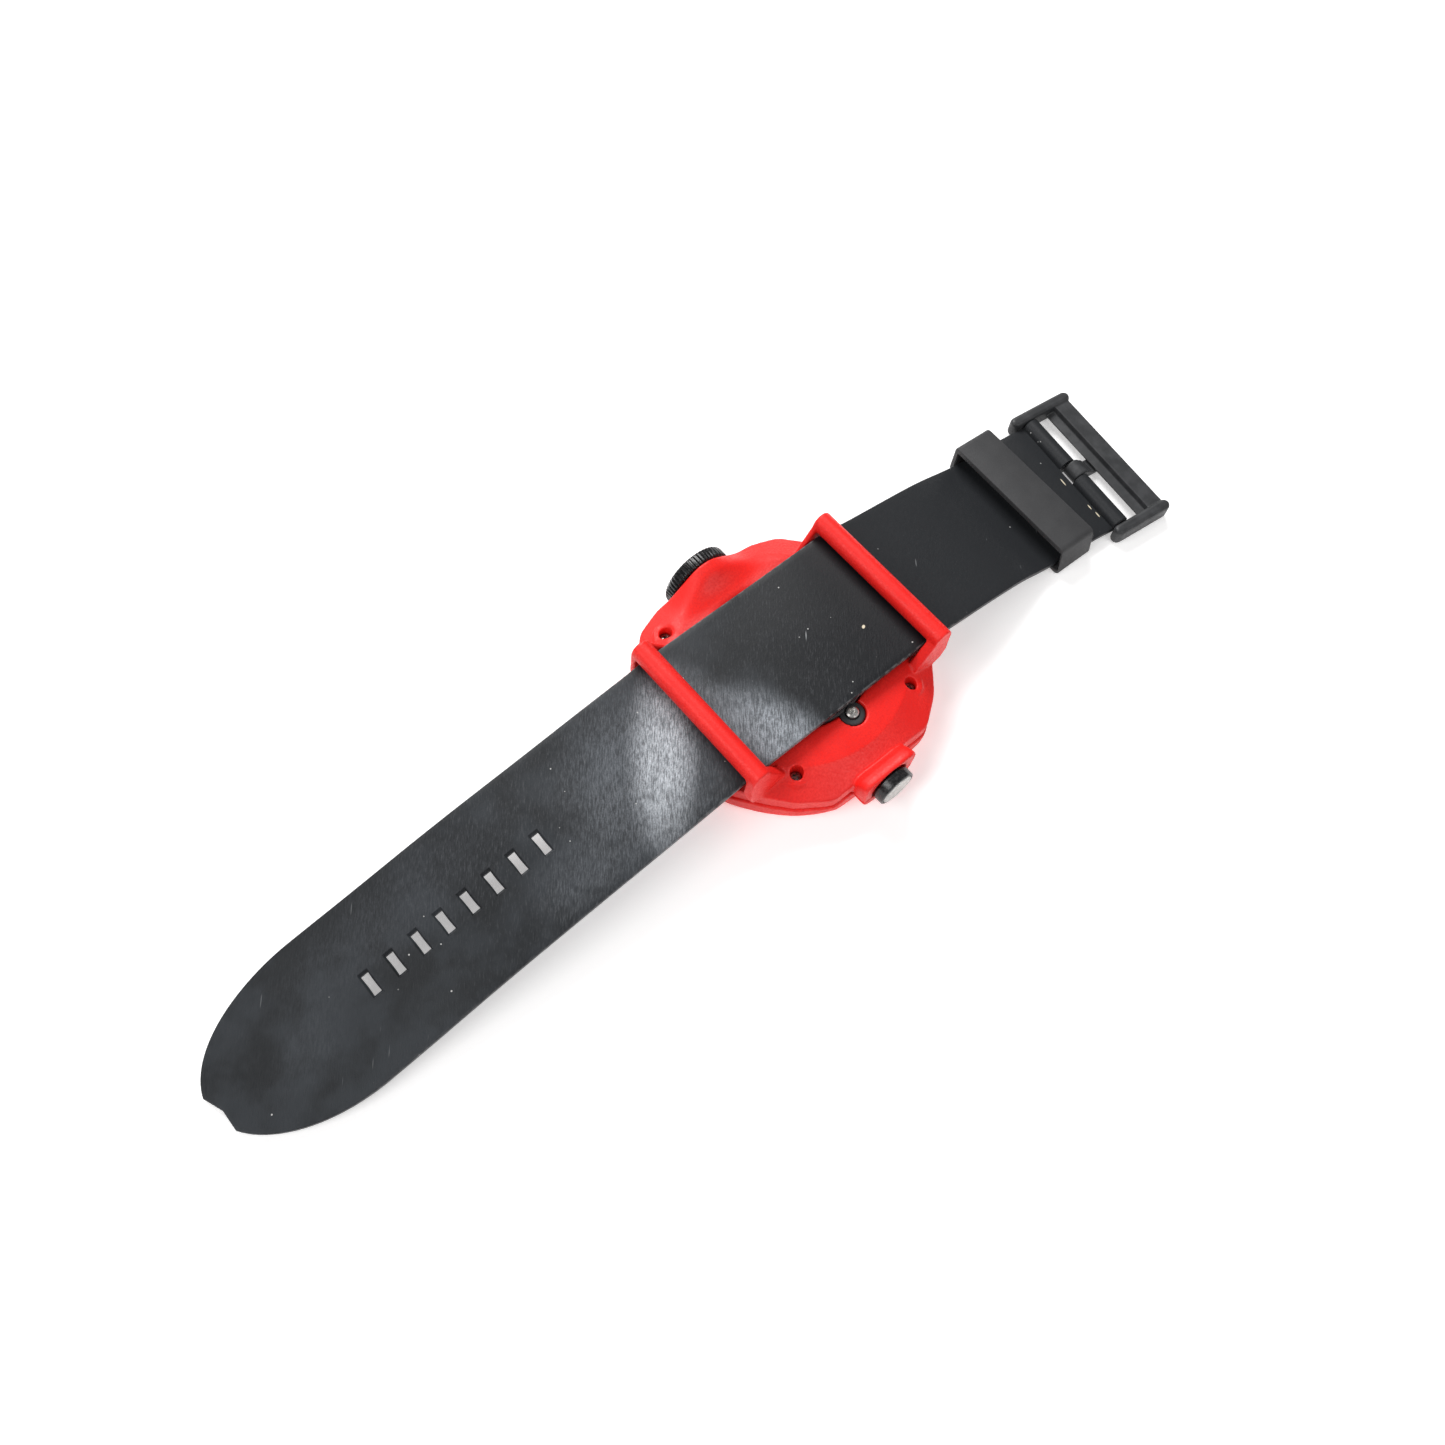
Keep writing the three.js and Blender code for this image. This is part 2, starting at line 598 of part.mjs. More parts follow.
function strapTail() {
  const band = swept(strip(fallCurve(TAIL_FALL), -TAIL_START, TIP_X, 26), -STRAP_HALF, STRAP_HALF);
  const tip = new THREE.Shape();
  const tipX = TIP_X - 1 + TIP_LENGTH;
  tip.moveTo(-TAIL_START + 2, -STRAP_HALF);
  tip.lineTo(-TAIL_START + 2, STRAP_HALF);
  tip.lineTo(tipX, STRAP_HALF);
  tip.absellipse(tipX, 0, TIP_LENGTH, STRAP_HALF, Math.PI / 2, 1.5 * Math.PI);
  const slots = [];
  for (let i = 0; i < SLOT_COUNT; i += 1) {
    const x = SLOT_FIRST_X - SLOT_PITCH * i;
    slots.push(box(x - SLOT_LENGTH / 2, x + SLOT_LENGTH / 2, -SLOT_WIDTH / 2, SLOT_WIDTH / 2, -5, 20));
  }
  return cut(overlap(band, raised(tip, -5, 25)), ...slots);
}
add('strap_tail', strapTail(), STRAP);

// sideways set of the strap's buckle end: straight, then a gentle curve, then straight again
function swaySlope(x) {
  return SWAY_SLOPE * THREE.MathUtils.clamp((x - SWAY_FROM) / (SWAY_TO - SWAY_FROM), 0, 1);
}
function sway(x) {
  const bent = THREE.MathUtils.clamp(x, SWAY_FROM, SWAY_TO) - SWAY_FROM;
  const straight = Math.max(x - SWAY_TO, 0);
  return (SWAY_SLOPE * bent * bent) / (2 * (SWAY_TO - SWAY_FROM)) + SWAY_SLOPE * straight;
}
// carries a piece drawn along the X axis over to the strap's bent middle line
function laid(geometry) {
  const position = geometry.attributes.position;
  for (let i = 0; i < position.count; i += 1) {
    const [x, y] = [position.getX(i), position.getY(i)];
    const turn = Math.atan(swaySlope(x));
    position.setX(i, x - y * Math.sin(turn));
    position.setY(i, sway(x) + y * Math.cos(turn));
  }
  return geometry;
}

const TONGUE_Y = 0.4;
const TONGUE_HALF = 2.2;
const KNUCKLE_GAP = 0.35;

function strapBuckleSide() {
  const band = swept(strip(fallCurve(BUCKLE_FALL), TAIL_START, PIN_X - 1.1, 26), -STRAP_HALF, STRAP_HALF);
  const tube = rodY(KNUCKLE_R, -STRAP_HALF, STRAP_HALF, PIN_X, PIN_Z, 24);
  const bore = rodY(PIN_R + GAP, -30, 30, PIN_X, PIN_Z);
  const clear = TONGUE_HALF + KNUCKLE_GAP;
  const notch = box(PIN_X - 2.6, PIN_X + 5, TONGUE_Y - clear, TONGUE_Y + clear, -2, 8);
  return laid(cut(join(band, tube), bore, notch));
}
add('strap_buckle_side', strapBuckleSide(), STRAP);

// ---------------------------------------------------------------- keeper
function keeper() {
  const inner = STRAP_HALF + 0.45;
  const outer = inner + KEEPER_SIDE;
  const bevel = 0.7;
  const low = 0.05;
  const [floor, roof] = [KEEPER_WALL, KEEPER_H - KEEPER_WALL];
  const shape = shapeOf([
    [-outer, low], [outer, low], [outer, KEEPER_H - bevel], [outer - bevel, KEEPER_H],
    [-outer + bevel, KEEPER_H], [-outer, KEEPER_H - bevel],
  ]);
  shape.holes.push(shapeOf([[-inner, floor], [-inner, roof], [inner, roof], [inner, floor]]));
  const alongX = new THREE.Matrix4().set(0, 0, 1, 0, 1, 0, 0, 0, 0, 1, 0, 0, 0, 0, 0, 1);
  const geometry = raised(shape, -KEEPER_LENGTH / 2, KEEPER_LENGTH / 2).applyMatrix4(alongX);
  return geometry.rotateZ(Math.atan(swaySlope(KEEPER_X))).translate(KEEPER_X, sway(KEEPER_X), 0);
}
add('strap_keeper', keeper(), BLACK_SATIN);

// ---------------------------------------------------------------- buckle
const RAIL_FROM = PIN_X - 5.9;
const RAIL_TO = PIN_X + 12.8;
const BAR_IN = PIN_X + 7.0;
const BAR_OUT = PIN_X + 12.0;

function rail(side) {
  const r = RAIL_W / 2;
  const y = side * RAIL_HALF;
  const shape = new THREE.Shape();
  shape.moveTo(RAIL_FROM + r, y - r);
  shape.lineTo(RAIL_TO - r, y - r);
  shape.absarc(RAIL_TO - r, y, r, -Math.PI / 2, Math.PI / 2);
  shape.lineTo(RAIL_FROM + r, y + r);
  shape.absarc(RAIL_FROM + r, y, r, Math.PI / 2, 1.5 * Math.PI);
  return raised(shape, 0.1, RAIL_TOP);
}

function buckleFrame() {
  const bar = swept([
    [BAR_IN, 1.9], [BAR_OUT, 1.9], [BAR_OUT, 3.8], [BAR_OUT - 0.4, 4.1], [BAR_IN + 1.5, 4.1],
    [BAR_IN, 3.1],
  ], -RAIL_HALF, RAIL_HALF);
  const pinHoles = rodY(PIN_R + GAP, -RAIL_HALF - 0.4, RAIL_HALF + 0.4, PIN_X, PIN_Z);
  return laid(cut(join(rail(-1), rail(1), bar), pinHoles));
}
add('buckle_frame', buckleFrame(), BLACK_SATIN);
add('buckle_pin', laid(rodY(PIN_R, -RAIL_HALF - 0.1, RAIL_HALF + 0.1, PIN_X, PIN_Z)), STEEL);

function buckleTongue() {
  const [y0, y1] = [TONGUE_Y - TONGUE_HALF, TONGUE_Y + TONGUE_HALF];
  const knuckle = rodY(KNUCKLE_R + 0.2, y0, y1, PIN_X, PIN_Z, 24);
  const arm = swept([
    [PIN_X + 0.6, 1.0], [PIN_X + 5.4, 0.45], [BAR_OUT + 0.3, 0.45], [BAR_OUT + 0.3, 1.5], [BAR_IN - 0.7, 1.55],
    [PIN_X + 4.2, 3.3], [PIN_X + 0.6, 3.9],
  ], y0 + 0.15, y1 - 0.15);
  return laid(cut(join(knuckle, arm), rodY(PIN_R + GAP, -30, 30, PIN_X, PIN_Z)));
}
add('buckle_tongue', buckleTongue(), BLACK_SATIN);

export default part;
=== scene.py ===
import json
import math

import bmesh
import bpy
import numpy as np
from mathutils import Matrix, Vector


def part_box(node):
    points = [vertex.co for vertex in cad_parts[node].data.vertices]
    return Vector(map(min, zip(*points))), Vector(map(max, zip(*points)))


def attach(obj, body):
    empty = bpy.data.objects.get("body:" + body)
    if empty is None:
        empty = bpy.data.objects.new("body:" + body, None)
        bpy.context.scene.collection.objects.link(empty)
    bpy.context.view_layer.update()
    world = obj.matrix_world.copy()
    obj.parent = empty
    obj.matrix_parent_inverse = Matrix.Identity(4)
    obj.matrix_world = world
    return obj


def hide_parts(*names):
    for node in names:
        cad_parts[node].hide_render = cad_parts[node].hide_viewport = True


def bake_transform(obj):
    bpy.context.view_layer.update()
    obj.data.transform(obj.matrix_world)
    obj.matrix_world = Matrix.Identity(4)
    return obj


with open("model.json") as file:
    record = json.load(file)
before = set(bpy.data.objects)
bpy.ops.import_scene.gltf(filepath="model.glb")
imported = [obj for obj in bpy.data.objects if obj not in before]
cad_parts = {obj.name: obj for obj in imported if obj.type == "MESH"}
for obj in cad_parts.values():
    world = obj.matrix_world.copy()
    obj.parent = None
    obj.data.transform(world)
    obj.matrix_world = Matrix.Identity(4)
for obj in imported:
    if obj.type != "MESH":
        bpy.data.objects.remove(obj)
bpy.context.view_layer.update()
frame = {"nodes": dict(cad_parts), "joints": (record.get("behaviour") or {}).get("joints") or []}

# Wrist dive computer lying face down. Shapes are drawn in millimetres and scaled to metres at
# the end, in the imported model's own frame.
MM = 0.001
JOINTS = {joint["name"]: joint for joint in frame["joints"]}


def span(node):
    """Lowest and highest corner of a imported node, in millimetres."""
    low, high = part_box(node)
    return low / MM, high / MM


def middle(node):
    low, high = span(node)
    return (low + high) / 2


# ---------------------------------------------------------------- sizes from the frame
REAR_LOW = span("rear_case")[0]
FRONT_HIGH = span("front_case")[1]
STRAP_LOW, STRAP_HIGH = span("strap_centre")
STRAP_HALF = STRAP_HIGH.y
STRAP_TOP = STRAP_HIGH.z
STRAP_T = STRAP_HIGH.z - STRAP_LOW.z
TIP_X = span("strap_tail")[0].x
CROWN = middle("crown_wheel")
CROWN_LOW, CROWN_HIGH = span("crown_wheel")
CROWN_R = (CROWN_HIGH.x - CROWN_LOW.x) / 2
BUTTON = middle("button_body")
BUTTON_LOW, BUTTON_HIGH = span("button_body")
BUTTON_R = (BUTTON_HIGH.x - BUTTON_LOW.x) / 2
BAR = Vector(JOINTS["buckle_side_fold"]["pos_m"]) / MM
PIN = Vector(JOINTS["buckle_hinge"]["pos_m"]) / MM
EAR = middle("battery_door_screw")
SHELL_SCREWS = [f"shell_screw_{i}" for i in range(1, 5)]

# ---------------------------------------------------------------- sizes of the shapes
GAP = 0.3
BAR_R = 2.5
LUG_IN = 18.35
LUG_OUT = 20.8
LUG_FAR_OUT = 19.7
WELL_R = 1.5
EAR_R = 2.9
DOOR_R = span("battery_door")[1].x
BEZEL_R = span("bezel_ring")[1].x
SLOT_COUNT = 8
SLOT_FIRST_X = -69.0
SLOT_PITCH = 6.2
SWAY_FROM = 60
SWAY_TO = 85
SWAY_SLOPE = -0.125
PIN_X = 97.2                # along the strap's own middle line
KNUCKLE_R = 2.3
ROLL_BACK = 0.95            # the roll's middle lies this far behind the pin
RAIL_HALF = 19.6
TONGUE_Y = 0.4
TONGUE_HALF = 2.05
CASE_VOXEL = 0.3
TRIM_VOXEL = 0.16
REAR_FAR_FLAT = CROWN_LOW.y - 0.2
REAR_NEAR_FLAT = -31.4
BACK_TOP = 14.0
RIM_R = 34.8
RIM_Z = 8.7
RIM_SLOPE = (12.9 - RIM_Z) / (RIM_R - 27)
HUMP_Y = CROWN_LOW.y - GAP
BOSS_FACE = REAR_LOW.y + 0.7
SEAT_R = BUTTON_R + 0.2
SEAT_FLOOR_Y = -33.5
CROWN_RIBS = 52
CROWN_WALL_HALF = 11.2      # block of solid case behind the crown
CROWN_WALL_X = (CROWN.x - CROWN_WALL_HALF, CROWN.x + CROWN_WALL_HALF)
CROWN_WALL_Y = 26.4
CROWN_WALL_TOP = 12.4


# ---------------------------------------------------------------- mesh tools
def make(name, bm):
    bmesh.ops.recalc_face_normals(bm, faces=bm.faces[:])
    mesh = bpy.data.meshes.new(name)
    bm.to_mesh(mesh)
    bm.free()
    obj = bpy.data.objects.new(name, mesh)
    bpy.context.scene.collection.objects.link(obj)
    return obj


def loft(name, sections):
    """A closed solid through rings of points, all with the same count, capped at both ends."""
    bm = bmesh.new()
    rings = [[bm.verts.new(p) for p in ring] for ring in sections]
    for a, b in zip(rings, rings[1:]):
        for i in range(len(a)):
            j = (i + 1) % len(a)
            bm.faces.new((a[i], a[j], b[j], b[i]))
    bm.faces.new(rings[0])
    bm.faces.new(rings[-1])
    return make(name, bm)


def loop_of_rings(name, loops):
    """A closed tube through rings of points whose last ring joins the first."""
    bm = bmesh.new()
    rings = [[bm.verts.new(p) for p in ring] for ring in loops]
    for a, b in zip(rings, rings[1:] + rings[:1]):
        for i in range(len(a)):
            j = (i + 1) % len(a)
            bm.faces.new((a[i], a[j], b[j], b[i]))
    return make(name, bm)


def circle(r, segments):
    turns = np.linspace(0, 2 * math.pi, segments, endpoint=False)
    return [(r * math.cos(a), r * math.sin(a)) for a in turns]


def lathe(name, profile, segments=96, at=(0, 0), axis="Z"):
    """A profile of (radius, height) points spun about Z or Y through the point at."""
    bm = bmesh.new()
    place = (lambda x, y, h: (at[0] + x, at[1] + y, h)) if axis == "Z" else (lambda x, y, h: (at[0] + x, h,
        at[1] + y))
    rings = []
    for r, h in profile:
        if r < 1e-6:
            rings.append([bm.verts.new(place(0, 0, h))])
        else:
            rings.append([bm.verts.new(place(x, y, h)) for x, y in circle(r, segments)])
    loops = list(zip(rings, rings[1:]))
    if len(rings[0]) > 1:
        loops.append((rings[-1], rings[0]))
    for a, b in loops:
        for i in range(segments):
            j = (i + 1) % segments
            corner = [a[i % len(a)], a[j % len(a)], b[j % len(b)], b[i % len(b)]]
            corner = [v for k, v in enumerate(corner) if v not in corner[:k]]
            if len(corner) > 2:
                bm.faces.new(corner)
    return make(name, bm)


def prism(name, outline, low, high, axis="Z"):
    """An outline raised between two heights along Z, Y or X."""
    put = {
        "Z": lambda a, b, h: (a, b, h),
        "Y": lambda a, b, h: (a, h, b),
        "X": lambda a, b, h: (h, a, b),
    }[axis]
    return loft(name, [[put(a, b, h) for a, b in outline] for h in (low, high)])


def block(name, x0, x1, y0, y1, z0, z1):
    return prism(name, [(x0, y0), (x1, y0), (x1, y1), (x0, y1)], z0, z1)


def rounded(points, radius, steps=6):
    """The outline with each corner replaced by a curve."""
    out = []
    count = len(points)
    for i in range(count):
        before, corner, after = (Vector(points[(i + k) % count]) for k in (-1, 0, 1))
        reach_in = min(radius, (before - corner).length * 0.45)
        reach_out = min(radius, (after - corner).length * 0.45)
        a = corner + (before - corner).normalized() * reach_in
        b = corner + (after - corner).normalized() * reach_out
        for k in range(steps + 1):
            t = k / steps
            p = a * (1 - t) ** 2 + corner * 2 * t * (1 - t) + b * t * t
            out.append((p.x, p.y))
    return out


def smooth_line(points, per_span=24):
    """A uniform Catmull-Rom curve through the points."""
    pts = np.array(points, float)
    out = []
    for i in range(len(pts) - 1):
        p0, p1, p2, p3 = pts[max(i - 1, 0)], pts[i], pts[i + 1], pts[min(i + 2, len(pts) - 1)]
        for w in np.linspace(0, 1, per_span, endpoint=False):
            v0, v1 = (p2 - p0) / 2, (p3 - p1) / 2
            out.append((2 * p1 - 2 * p2 + v0 + v1) * w ** 3 + (-3 * p1 + 3 * p2 - 2 * v0 - v1) * w * w
                       + v0 * w + p1)
    out.append(pts[-1])
    return np.array(out)


def bake(obj):
    """Applies the modifiers for good."""
    graph = bpy.context.evaluated_depsgraph_get()
    mesh = bpy.data.meshes.new_from_object(obj.evaluated_get(graph))
    obj.modifiers.clear()
    old = obj.data
    obj.data = mesh
    bpy.data.meshes.remove(old)
    return obj


def combine(base, tools, operation):
    for tool in tools:
        step = base.modifiers.new("cut", "BOOLEAN")
        step.operation = operation
        step.solver = "MANIFOLD"
        step.object = tool
    bake(base)
    for tool in tools:
        bpy.data.objects.remove(tool)
    return base


def join(base, *tools):
    return combine(base, tools, "UNION")


def cut(base, *tools):
    return combine(base, tools, "DIFFERENCE")


def keep_common(base, *tools):
    return combine(base, tools, "INTERSECT")


def mould(obj, voxel, passes, faces=None):
    """Turns a sharp solid into one even skin with softly rounded edges, as moulded plastic has."""
    skin = obj.modifiers.new("skin", "REMESH")
    skin.mode = "VOXEL"
    skin.voxel_size = voxel
    ease = obj.modifiers.new("ease", "SMOOTH")
    ease.factor = 0.5
    ease.iterations = passes
    bake(obj)
    count = len(obj.data.polygons) * 2
    if faces and count > faces:
        thin = obj.modifiers.new("thin", "DECIMATE")
        thin.ratio = faces / count
        bake(obj)
    return obj


def soften_where(obj, weight, passes):
    """Extra smoothing of the vertices where weight(x, y, z) is above 0."""
    group = obj.vertex_groups.new(name="soft")
    for v in obj.data.vertices:
        w = weight(*v.co)
        if w > 0:
            group.add([v.index], w, "REPLACE")
    ease = obj.modifiers.new("ease", "SMOOTH")
    ease.factor = 0.5
    ease.iterations = passes
    ease.vertex_group = "soft"
    bake(obj)
    obj.vertex_groups.clear()


def fade(x, low, high):
    """0 below low, 1 above high, smooth between."""
    t = min(max((x - low) / (high - low), 0), 1)
    return t * t * (3 - 2 * t)


def finish_piece(obj, material, body=None, nodes=(), sharp=40):
    """Scales the piece to metres, gives it its material and says what it rides on and replaces."""
    obj.data.transform(Matrix.Scale(MM, 4))
    obj.data.materials.clear()
    obj.data.materials.append(material)
    obj.data.shade_smooth()
    if sharp:
        obj.data.set_sharp_from_angle(angle=math.radians(sharp))
    if material is STRAP:
        stored = obj.data.attributes.new(LAID, "FLOAT_VECTOR", "POINT")
        stored.data.foreach_set("vector", [c for v in obj.data.vertices for c in v.co])
    if body:
        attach(obj, body)
    if nodes:
        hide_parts(*nodes)
    return obj


# ---------------------------------------------------------------- materials
LAID = "laid_place"         # where a strap piece's points lie at rest, which its marks are drawn from
PAINTED_SHEEN = [                    # painted sheen standing in for softbox reflections: (x, y, half length, half width, turn), amount, colour
    ((-16, -14, 21, 11, 106), 0.95, (0.46, 0.495, 0.54)),
    ((-23, 2, 17, 7, 95), 0.6, (0.26, 0.28, 0.305)),
    ((-44, -2, 28, 24, 40), 0.75, (0.20, 0.216, 0.24)),
    ((-38, -2, 26, 9, 52), 0.95, (0.72, 0.76, 0.81)),
    ((-67, -11, 16, 11, 0), 0.45, (0.16, 0.172, 0.19)),
    ((-97, 9, 46, 13, 0), 0.3, (0.10, 0.108, 0.122)),
    ((-128, -2, 14, 9, 30), 0.25, (0.10, 0.108, 0.122)),
]
RUB_TURN = 50               # direction of the rubbed marks, in degrees from the strap's length


class Look:
    """A Principled material with a few short ways to drive it from patterns in object space."""

    def __init__(self, name, base, roughness, metallic=0.0, specular=0.5, place=None):
        self.material = bpy.data.materials.new(name)
        self.material.use_nodes = True
        self.nodes = self.material.node_tree.nodes
        self.links = self.material.node_tree.links
        self.shader = self.nodes["Principled BSDF"]
        self.shader.inputs["Base Color"].default_value = (*base, 1)
        self.shader.inputs["Roughness"].default_value = roughness
        self.shader.inputs["Metallic"].default_value = metallic
        self.shader.inputs["Specular IOR Level"].default_value = specular
        if place:
            stored = self.nodes.new("ShaderNodeAttribute")
            stored.attribute_name = place
            self.coords = stored.outputs["Vector"]
        else:
            self.coords = self.nodes.new("ShaderNodeTexCoord").outputs["Object"]

    def add(self, kind, **values):
        node = self.nodes.new(kind)
        for key, value in values.items():
            setattr(node, key, value)
        return node

    def feed(self, node, **sockets):
        """Sets or links a node's inputs by name, with spaces written as underscores."""
        for key, value in sockets.items():
            socket = node.inputs[key.replace("_", " ")]
            if isinstance(value, bpy.types.NodeSocket):
                self.links.new(value, socket)
            else:
                socket.default_value = value
        return node

    def stretched(self, stretch, turn=0.0):
        mapping = self.add("ShaderNodeMapping", vector_type="TEXTURE")
        self.feed(mapping, Vector=self.coords, Scale=tuple(1 / s for s in stretch), Rotation=(0, 0, turn))
        return mapping.outputs["Vector"]

    def noise(self, size, detail=3.0, rough=0.55, vector=None):
        """Noise with features of about size millimetres."""
        node = self.add("ShaderNodeTexNoise")
        self.feed(node, Vector=vector or self.coords, Scale=1 / (size * MM), Detail=detail, Roughness=rough)
        return node.outputs["Fac"]

    def cells(self, size, vector=None, feature="F1"):
        node = self.add("ShaderNodeTexVoronoi", feature=feature)
        self.feed(node, Vector=vector or self.coords, Scale=1 / (size * MM))
        return node.outputs["Distance"]

    def spot(self, x, y, long, across, turn, edge=0.15):
        """1 in the middle of an ellipse in plan, in millimetres and degrees, easing to 0 at its edge."""
        mapping = self.add("ShaderNodeMapping", vector_type="TEXTURE")
        self.feed(
            mapping, Vector=self.coords, Location=(x * MM, y * MM, 0),
            Rotation=(0, 0, math.radians(turn)), Scale=(long * MM, across * MM, 1),
        )
        length = self.add("ShaderNodeVectorMath", operation="LENGTH")
        self.links.new(mapping.outputs["Vector"], length.inputs[0])
        return self.level(length.outputs["Value"], 1, edge)

    def level(self, value, low, high, out_low=0.0, out_high=1.0):
        """Maps value from low..high to out_low..out_high, smoothly and clamped."""
        node = self.add("ShaderNodeMapRange", interpolation_type="SMOOTHSTEP")
        self.feed(node, Value=value, From_Min=low, From_Max=high, To_Min=out_low, To_Max=out_high)
        return node.outputs["Result"]

    def math(self, operation, a, b=0.0):
        node = self.add("ShaderNodeMath", operation=operation)
        for socket, value in zip(node.inputs, (a, b)):
            if isinstance(value, bpy.types.NodeSocket):
                self.links.new(value, socket)
            else:
                socket.default_value = value
        return node.outputs["Value"]

    def mix(self, factor, a, b):
        node = self.add("ShaderNodeMix", data_type="RGBA")
        for index, value in ((0, factor), (6, a), (7, b)):
            socket = node.inputs[index]
            if isinstance(value, bpy.types.NodeSocket):
                self.links.new(value, socket)
            else:
                socket.default_value = (*value, 1) if index > 0 else value
        return node.outputs[2]

    def axes(self):
        node = self.add("ShaderNodeSeparateXYZ")
        self.links.new(self.coords, node.inputs[0])
        return node.outputs

    def color(self, socket):
        self.links.new(socket, self.shader.inputs["Base Color"])
        return self

    def rough(self, socket):
        self.links.new(socket, self.shader.inputs["Roughness"])
        return self

    def bump(self, *layers):
        """Each layer is (height socket, depth in millimetres)."""
        normal = None
        for height, depth in layers:
            node = self.add("ShaderNodeBump")
            self.feed(node, Height=height, Distance=depth * MM, Strength=1.0)
            if normal is not None:
                self.links.new(normal, node.inputs["Normal"])
            normal = node.outputs["Normal"]
        self.links.new(normal, self.shader.inputs["Normal"])
        return self


def red_plastic():
    look = Look("red_plastic", (0.8, 0.02, 0.015), 0.42, specular=0.36)
    broad = look.noise(9, 3)
    grain = look.noise(0.5, 4, 0.65)
    fine = look.noise(0.2, 2)
    base = look.mix(look.level(broad, 0.35, 0.65), (0.86, 0.013, 0.009), (0.92, 0.022, 0.016))
    look.color(look.mix(look.level(grain, 0.35, 0.7), base, (0.78, 0.009, 0.007)))
    look.rough(look.level(grain, 0.3, 0.7, 0.34, 0.54))
    return look.bump((grain, 0.06), (fine, 0.02)).material


def strap_pvc():
    """Satin black strap: painted sheen in cloudy patches on the tail and centre, standing in for reflections
    of the lights, fine grain, dust and scratches.
    """
    look = Look("strap_pvc", (0.02, 0.022, 0.025), 0.42, specular=0.28, place=LAID)
    x = look.axes()["X"]
    clouds = look.noise(13, 3)
    patches = look.noise(5, 4, 0.6)
    grain = look.noise(0.34, 3, 0.7)
    hair = look.noise(0.7, 3, 0.75, look.stretched((0.35, 2.4, 2.4), math.radians(RUB_TURN)))
    base = look.mix(look.level(clouds, 0.38, 0.64), (0.011, 0.0125, 0.0145), (0.023, 0.0265, 0.031))
    # painted shade: the centre span, x from about -20 to 28 mm, is painted darker than the rest of the strap,
    # where less light reflects off it
    base = look.mix(look.level(x, -20 * MM, 10 * MM), base, (0.009, 0.010, 0.012))
    base = look.mix(look.level(x, 28 * MM, 31 * MM), base, (0.019, 0.0205, 0.023))
    brushing = look.math("MULTIPLY", look.level(hair, 0.52, 0.72), look.level(x, 25 * MM, 0))
    base = look.mix(
        look.math("MULTIPLY", brushing, look.level(x, -120 * MM, -60 * MM, 0.1, 0.8)), base,
        (0.05, 0.053, 0.058),
    )
    speckle = look.math(
        "MULTIPLY", look.level(grain, 0.3, 0.7, 0.6, 1.0), look.level(hair, 0.36, 0.64, 0.3, 1.0),
    )
    sheen_texture = look.math("MULTIPLY", speckle, look.level(patches, 0.2, 0.7, 0.6, 1.0))
    # painted sheen: each patch lightens the strap where reflections of the softboxes would fall, broken up by
    # grain
    for place, amount, shade in PAINTED_SHEEN:
        worn = look.math("MULTIPLY", look.spot(*place), sheen_texture)
        base = look.mix(look.math("MULTIPLY", worn, amount), base, shade)
    sparse = look.noise(6, 2)
    dust = look.math("MULTIPLY", look.level(look.cells(3.0), 0.07, 0.045), look.level(sparse, 0.54, 0.6))
    # a pale speck at x 16.6, y -6.2 mm, and three painted glints beside the knuckle, standing in for light
    # catching the strap's folded end
    speck_and_glints = look.spot(16.6, -6.2, 0.6, 0.42, 30, 0.6)
    for y, long in ((-3.0, 1.3), (-12.3, 0.9), (-15.1, 1.0)):
        speck_and_glints = look.math("MAXIMUM", speck_and_glints, look.spot(92 + 0.02 * (y + 3), y, long, 0.2, -99, 0.7))
    thin = look.cells(3.6, look.stretched((0.16, 1.9, 1.0), math.radians(RUB_TURN)))
    scratch = look.math("MULTIPLY", look.level(thin, 0.085, 0.04), look.level(look.noise(9, 2), 0.48, 0.56))
    scratch = look.math("MULTIPLY", scratch, look.level(x, -75 * MM, -10 * MM, 0.2, 1.0))
    scratch = look.math("MULTIPLY", scratch, look.level(x, 45 * MM, 28 * MM, 0.25, 1.0))
    base = look.mix(scratch, base, (0.30, 0.31, 0.32))
    edge = look.math("ABSOLUTE", look.axes()["Y"])
    # painted highlight: a lighter broken line along both strap edges over the centre span, standing in for
    # light catching the rounded edge
    edge_highlight = look.math("MULTIPLY", look.level(edge, (STRAP_HALF - 0.45) * MM, (STRAP_HALF - 0.15) * MM),
                          look.level(look.noise(1.4, 3), 0.42, 0.6, 0.05, 0.45))
    edge_highlight = look.math("MULTIPLY", edge_highlight, look.math("MULTIPLY", look.level(x, 45 * MM, 25 * MM),
                                                           look.level(x, -60 * MM, -30 * MM, 0.25, 1.0)))
    base = look.mix(edge_highlight, base, (0.2, 0.2, 0.2))
    base = look.mix(speck_and_glints, base, (0.72, 0.64, 0.48))
    look.color(look.mix(dust, base, (0.5, 0.5, 0.49)))
    look.rough(look.level(hair, 0.25, 0.75, 0.36, 0.52))
    brushed = look.math("MULTIPLY", hair, look.level(x, -10 * MM, -40 * MM, 0.3, 1.0))
    return look.bump((grain, 0.03), (brushed, 0.07)).material


def black_trim():
    look = Look("black_trim", (0.028, 0.029, 0.031), 0.5, specular=0.5)
    broad = look.noise(4, 3)
    grain = look.noise(0.3, 4)
    look.color(look.mix(look.level(broad, 0.35, 0.7), (0.022, 0.023, 0.025), (0.042, 0.043, 0.046)))
    look.rough(look.level(grain, 0.3, 0.7, 0.42, 0.62))
    return look.bump((grain, 0.02)).material


